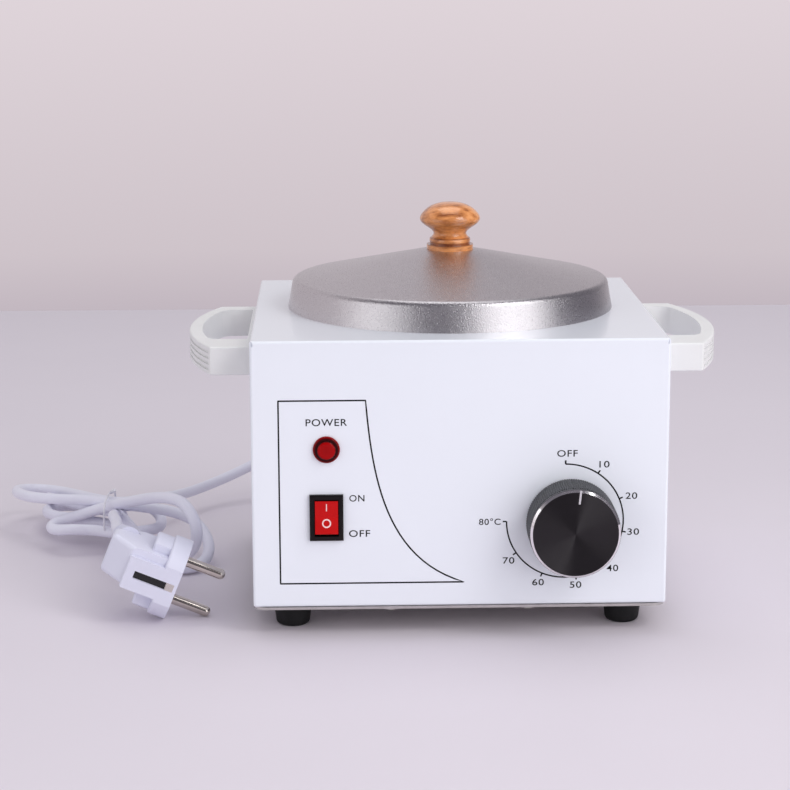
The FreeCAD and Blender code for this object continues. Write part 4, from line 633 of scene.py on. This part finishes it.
def make_tie():
    """Thin twist tie once round the waist of the hank, its two short ends twisted together on top."""
    centre = Vector(TIE_CENTRE)
    up = Vector((0.0, 0.0, 1.0))
    first = TWIST_DIRECTION.cross(TIE_SIDE).normalized()
    second = TWIST_DIRECTION.cross(first)
    top = centre + up * TIE_HALF_HEIGHT

    def twisted_end(start_angle):
        points = []
        for step in range(1, TWIST_STEPS + 1):
            share = step / TWIST_STEPS
            angle = start_angle + 2 * math.pi * TWIST_TURNS * share
            swing = first * math.cos(angle) + second * math.sin(angle)
            points.append(top + TWIST_DIRECTION * TWIST_LENGTH * share + swing * TWIST_RADIUS)
        return points

    loop = []
    for step in range(1, TIE_STEPS):
        angle = math.pi / 2 + 2 * math.pi * step / TIE_STEPS
        across = math.copysign(abs(math.cos(angle)) ** TIE_SQUARENESS, math.cos(angle))
        upward = math.copysign(abs(math.sin(angle)) ** TIE_SQUARENESS, math.sin(angle))
        loop.append(centre + TIE_SIDE * TIE_HALF_WIDTH * across + up * TIE_HALF_HEIGHT * upward)
    data = wire_curve("twist_tie", TIE_WIRE / 2, TIE_CURVE_STEPS, TIE_SIDES)
    add_nurbs(data, [*reversed(twisted_end(0.0)), *loop, *twisted_end(math.pi)])
    data.materials.append(finish("tie_plastic"))
    tie = place_piece(bpy.data.objects.new("twist_tie", data), "housing")
    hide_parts("cord_tie")
    return tie


# ---- panel print ----

def panel_point(x, z):
    """Point of the front panel, from millimetres off the middle of its lower edge."""
    return Vector((x * MM, 0.0, base_z + z * MM))


def mesh_of(name, data):
    """The mesh that a curve or text makes."""
    obj = bpy.data.objects.new(name, data)
    bpy.context.scene.collection.objects.link(obj)
    bpy.context.view_layer.update()
    mesh = bpy.data.meshes.new_from_object(obj.evaluated_get(bpy.context.evaluated_depsgraph_get()))
    bpy.data.objects.remove(obj)
    return mesh


def ink_piece(name, mesh):
    """Place a flat mesh on the panel as black ink."""
    mesh.materials.clear()
    mesh.materials.append(finish("black_ink"))
    place_piece(bpy.data.objects.new(name, mesh), "housing")


def flatten_onto_panel(name, data):
    """Turn a curve into a closed mesh that lies as a thin layer of ink on the panel."""
    mesh = mesh_of(name + "_curve", data)
    depths = [vertex.co.y for vertex in mesh.vertices]
    low = min(depths)
    depth = max(depths) - low
    for vertex in mesh.vertices:
        vertex.co.y = front_y - ENAMEL_GAP - INK_THICKNESS * (1.0 - (vertex.co.y - low) / depth)
    mesh.name = name
    ink_piece(name, mesh)


def add_line(data, points):
    """Straight runs from point to point, in metres."""
    spline = data.splines.new("POLY")
    spline.points.add(len(points) - 1)
    for target, point in zip(spline.points, points):
        target.co = (*point, 1.0)


def make_outline():
    """Thin frame round lamp and switch: three straight sides and one hollow curve."""
    data = wire_curve("panel_outline", OUTLINE_WIDTH / 2, PRINT_STEPS, PRINT_SIDES)
    spline = data.splines.new("BEZIER")
    corners = ((OUTLINE_LEFT, OUTLINE_TOP), (OUTLINE_SHOULDER, OUTLINE_TOP),
               (OUTLINE_RIGHT, OUTLINE_BOTTOM), (OUTLINE_LEFT, OUTLINE_BOTTOM))
    spline.bezier_points.add(len(corners) - 1)
    for target, corner in zip(spline.bezier_points, corners):
        target.co = panel_point(*corner)
        target.handle_left_type = "FREE"
        target.handle_right_type = "FREE"
        target.handle_left = target.co
        target.handle_right = target.co
    spline.bezier_points[1].handle_right = panel_point(*OUTLINE_PULLS[0])
    spline.bezier_points[2].handle_left = panel_point(*OUTLINE_PULLS[1])
    spline.use_cyclic_u = True
    flatten_onto_panel("panel_outline", data)


def make_word(text, x, z, width, height, name):
    """Plain lettering of a given size, centred on a place of the panel."""
    data = bpy.data.curves.new(name, "FONT")
    data.body = text
    data.extrude = INK_THICKNESS
    data.space_character = LETTER_SPACING
    data.offset = LETTER_BOLD
    mesh = mesh_of(name + "_text", data)
    xs = [vertex.co.x for vertex in mesh.vertices]
    ys = [vertex.co.y for vertex in mesh.vertices]
    middle = panel_point(x, z)
    for vertex in mesh.vertices:
        across = (vertex.co.x - min(xs)) / (max(xs) - min(xs)) - 0.5
        upward = (vertex.co.y - min(ys)) / (max(ys) - min(ys)) - 0.5
        front = INK_THICKNESS if vertex.co.z > 0 else 0.0
        vertex.co = (middle.x + across * width * MM, front_y - ENAMEL_GAP - front,
                     middle.z + upward * height * MM)
    ink_piece(name, mesh)


def scale_place(angle, radius):
    """Place round the dial's scale, clockwise from its top, in millimetres."""
    turn = math.radians(angle)
    return SCALE_CENTRE[0] + radius * math.sin(turn), SCALE_CENTRE[1] + radius * math.cos(turn)


def scale_line(data, places):
    """Line through places given as angle and radius round the dial's scale."""
    add_line(data, [panel_point(*scale_place(angle, radius)) for angle, radius in places])


def make_dial_scale():
    """Three quarters of a circle with a short tick at every mark, and its numerals."""
    data = wire_curve("dial_scale", SCALE_WIDTH / 2, PRINT_STEPS, PRINT_SIDES)
    marks = len(SCALE_WORDS)
    sweep = round(SCALE_STEP * (marks - 1))
    scale_line(data, [(angle, SCALE_RADIUS) for angle in range(0, sweep + 1, ARC_STEP)])
    for index in range(marks):
        angle = SCALE_STEP * index
        scale_line(data, [(angle, SCALE_RADIUS), (angle, SCALE_RADIUS + TICK_LENGTH)])
    flatten_onto_panel("dial_scale", data)
    for index, (text, radius, width, right, up) in enumerate(SCALE_WORDS):
        x, z = scale_place(SCALE_STEP * index, radius)
        make_word(text, x + right, z + up, width, NUMERAL_HEIGHT, f"dial_mark_{index}")


def make_print():
    make_outline()
    for text, x, z, width, height in WORDS:
        make_word(text, x, z, width, height, "word_" + text.lower())
    make_dial_scale()


# ---- dial and rocker ----

def close_ring(builder, sections):
    """Faces between each closed section and the next, round to the first again."""
    for index, section in enumerate(sections):
        following = sections[(index + 1) % len(sections)]
        for corner in range(len(section)):
            after = (corner + 1) % len(section)
            builder.faces.new((section[corner], section[after], following[after], following[corner]))


def make_dial_body():
    """Hollow dial body with a finely knurled side and a hub on the spindle."""
    low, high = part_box("dial_knob")
    outer = (high.x - low.x) / 2 / MM
    length = (high.y - low.y) / MM
    middle = (low + high) / 2
    inside = outer - DIAL_WALL
    # every point of the section: radius, distance from the rear face, and whether it is knurled
    profile = ((DIAL_BORE_RADIUS, DIAL_HUB_SETBACK, 0), (DIAL_HUB_RADIUS, DIAL_HUB_SETBACK, 0),
               (DIAL_HUB_RADIUS, length - DIAL_WEB, 0), (inside, length - DIAL_WEB, 0), (inside, 0.0, 0),
               (outer - KNURL_DEPTH, 0.0, 0), (outer, DIAL_REAR_SLOPE, 1),
               (outer, length - DIAL_FRONT_SLOPE, 1), (outer - KNURL_DEPTH - DIAL_FRONT_STEP, length, 0),
               (DIAL_BORE_RADIUS, length, 0))
    columns = KNURL_TEETH * KNURL_STEPS
    builder = bmesh.new()
    rings = []
    for column in range(columns):
        angle = 2 * math.pi * column / columns
        dip = 0.5 - 0.5 * math.cos(2 * math.pi * column / KNURL_STEPS)
        ring = []
        for radius, depth, knurled in profile:
            reach = (radius - KNURL_DEPTH * dip * knurled) * MM
            ring.append(builder.verts.new((middle.x + reach * math.cos(angle), high.y - depth * MM,
                                           middle.z + reach * math.sin(angle))))
        rings.append(ring)
    close_ring(builder, rings)
    body = mesh_piece("dial_body", builder, finish("knurled_metal"), "dial")
    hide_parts("dial_knob")


def add_block(builder, centre, axes, sizes):
    """Closed block with its edges along three axes."""
    corners = []
    for first in (-0.5, 0.5):
        for second in (-0.5, 0.5):
            for third in (-0.5, 0.5):
                shares = (first, second, third)
                offsets = [axis * size * share for axis, size, share in zip(axes, sizes, shares)]
                corners.append(builder.verts.new(centre + (offsets[0] + offsets[1] + offsets[2])))
    for face in ((0, 1, 3, 2), (4, 6, 7, 5), (0, 4, 5, 1), (2, 3, 7, 6), (0, 2, 6, 4), (1, 5, 7, 3)):
        builder.faces.new([corners[index] for index in face])


def make_pointer():
    """Bright strip laid into the groove of the dial's face."""
    turn = math.radians(POINTER_ANGLE)
    along = Vector((math.sin(turn), 0.0, math.cos(turn)))
    across = Vector((math.cos(turn), 0.0, -math.sin(turn)))
    inward = Vector((0.0, 1.0, 0.0))
    reach = dial_rim - (POINTER_END_GAP + POINTER_LENGTH / 2) * MM
    face = Vector((dial_centre.x, dial_low.y + (POINTER_DEPTH / 2 + POINTER_SUNK) * MM, dial_centre.z))
    builder = bmesh.new()
    add_block(builder, face + along * reach, (along, across, inward),
              (POINTER_LENGTH * MM, POINTER_WIDTH * MM, POINTER_DEPTH * POINTER_DEPTH_SHARE * MM))
    bmesh.ops.bevel(builder, geom=builder.edges[:], offset=POINTER_ROUNDING * MM,
                    segments=POINTER_ROUNDING_STEPS, affect="EDGES")
    mesh_piece("dial_pointer", builder, finish("pointer_metal"), "dial")


def make_rocker_marks():
    """I and O on the two halves of the rocker."""
    right = Vector((1.0, 0.0, 0.0))
    slant = math.radians(ROCKER_SLANT)
    upper_out = Vector((0.0, -1.0, 0.0))
    upper_along = Vector((0.0, 0.0, 1.0))
    lower_out = Vector((0.0, -math.cos(slant), math.sin(slant)))
    lower_along = Vector((0.0, math.sin(slant), math.cos(slant)))
    fold = rocker_pivot + Vector((0.0, -ROCKER_FACE, ROCKER_FOLD)) * MM
    builder = bmesh.new()
    add_block(builder, fold + (upper_along * BAR_LEVEL + upper_out * MARK_LIFT) * MM,
              (right, upper_along, upper_out), (BAR_WIDTH * MM, BAR_HEIGHT * MM, MARK_THICKNESS * MM))
    centre = fold + (lower_out * MARK_LIFT - lower_along * RING_LEVEL) * MM
    half = MARK_THICKNESS / 2
    inner = RING_RADIUS - RING_STROKE
    section = ((inner, -half), (RING_RADIUS, -half), (RING_RADIUS, half), (inner, half))
    rings = []
    for step in range(RING_STEPS):
        angle = 2 * math.pi * step / RING_STEPS
        ray = right * math.cos(angle) + lower_along * math.sin(angle)
        rings.append([builder.verts.new(centre + (ray * radius + lower_out * height) * MM)
                      for radius, height in section])
    close_ring(builder, rings)
    mesh_piece("rocker_marks", builder, finish("mark_white"), "rocker")


# ---- camera, floor and light ----

def make_camera():
    data = bpy.data.cameras.new("camera")
    data.sensor_width = SENSOR_WIDTH
    data.lens = FOCAL_PIXELS * SENSOR_WIDTH / IMAGE_SIDE
    data.clip_start = NEAREST_SEEN
    data.clip_end = FARTHEST_SEEN
    camera = bpy.data.objects.new("camera", data)
    turn = (Matrix.Rotation(-CAMERA_YAW, 4, "Z") @ Matrix.Rotation(math.pi / 2 - CAMERA_PITCH, 4, "X")
            @ Matrix.Rotation(-CAMERA_ROLL, 4, "Z"))
    camera.matrix_world = Matrix.Translation(CAMERA_PLACE) @ turn
    bpy.context.scene.collection.objects.link(camera)
    bpy.context.scene.camera = camera


def backdrop_colour(n):
    """Backdrop by the height of the line of sight: a little darker where it meets the floor."""
    direction = n.add("ShaderNodeSeparateXYZ")
    n.link(n.add("ShaderNodeTexCoord").outputs["Generated"], direction.inputs[0])
    height = n.add("ShaderNodeMapRange")
    height.inputs["From Min"].default_value = HORIZON_SLOPE
    height.inputs["From Max"].default_value = 0.0
    n.link(direction.outputs["Z"], height.inputs["Value"])
    return n.ramp(height.outputs["Result"], BACKDROP_STOPS)


def make_floor():
    """A pale table top with a straight far edge and round corners."""
    mesh = bpy.data.meshes.new("floor")
    builder = bmesh.new()
    corners = []
    for step in range(TABLE_STEPS):
        angle = 2 * math.pi * step / TABLE_STEPS
        across = abs(math.cos(angle)) ** TABLE_POWER + abs(math.sin(angle)) ** TABLE_POWER
        reach = TABLE_REACH / across ** (1 / TABLE_POWER)
        corners.append(builder.verts.new((reach * math.cos(angle), reach * math.sin(angle), 0.0)))
    builder.faces.new(corners)
    builder.to_mesh(mesh)
    builder.free()
    floor = bpy.data.objects.new("floor", mesh)
    bpy.context.scene.collection.objects.link(floor)
    mesh.materials.append(finish("pale_floor"))


def area_light(name, place, width, height, power):
    data = bpy.data.lights.new(name, "AREA")
    data.shape = "RECTANGLE"
    data.size = width
    data.size_y = height
    data.energy = power
    light = bpy.data.objects.new(name, data)
    light.location = place
    light.rotation_euler = (Vector(LAMP_TARGET) - Vector(place)).to_track_quat("-Z", "Y").to_euler()
    bpy.context.scene.collection.objects.link(light)


def make_world():
    """Even studio light; a backdrop for the eye; bright and dark sides of the room for glossy surfaces."""
    world = bpy.data.worlds.new("studio")
    bpy.context.scene.world = world
    world.use_nodes = True
    n = Nodes.__new__(Nodes)
    n.tree = world.node_tree
    light = n.tree.nodes["Background"]
    light.inputs["Color"].default_value = WORLD_COLOUR
    light.inputs["Strength"].default_value = WORLD_STRENGTH
    seen = n.add("ShaderNodeBackground")
    n.link(backdrop_colour(n), seen.inputs["Color"])
    room = n.add("ShaderNodeBackground")
    n.link(room_colour(n), room.inputs["Color"])
    rays = n.add("ShaderNodeLightPath")
    glossy = n.add("ShaderNodeMixShader")
    n.link(rays.outputs["Is Glossy Ray"], glossy.inputs[0])
    n.link(light.outputs[0], glossy.inputs[1])
    n.link(room.outputs[0], glossy.inputs[2])
    mask = n.math("MAXIMUM", rays.outputs["Is Camera Ray"], rays.outputs["Is Transmission Ray"])
    mix = n.add("ShaderNodeMixShader")
    n.link(mask, mix.inputs[0])
    n.link(glossy.outputs[0], mix.inputs[1])
    n.link(seen.outputs[0], mix.inputs[2])
    n.link(mix.outputs[0], n.tree.nodes["World Output"].inputs["Surface"])


def room_colour(n):
    """What glossy surfaces see: pale behind and to the left, dark in front and to the right."""
    side = n.add("ShaderNodeVectorMath", operation="DOT_PRODUCT")
    n.link(n.add("ShaderNodeTexCoord").outputs["Generated"], side.inputs[0])
    side.inputs[1].default_value = ROOM_BRIGHT_SIDE
    return n.ramp(side.outputs["Value"], ROOM_STOPS)


def make_light():
    bpy.context.scene.view_settings.view_transform = "Standard"
    make_world()
    for lamp in LAMPS:
        area_light(*lamp)


make_camera()
dress_frame()
make_lead()
make_print()
make_dial_body()
make_pointer()
make_rocker_marks()
make_floor()
make_light()
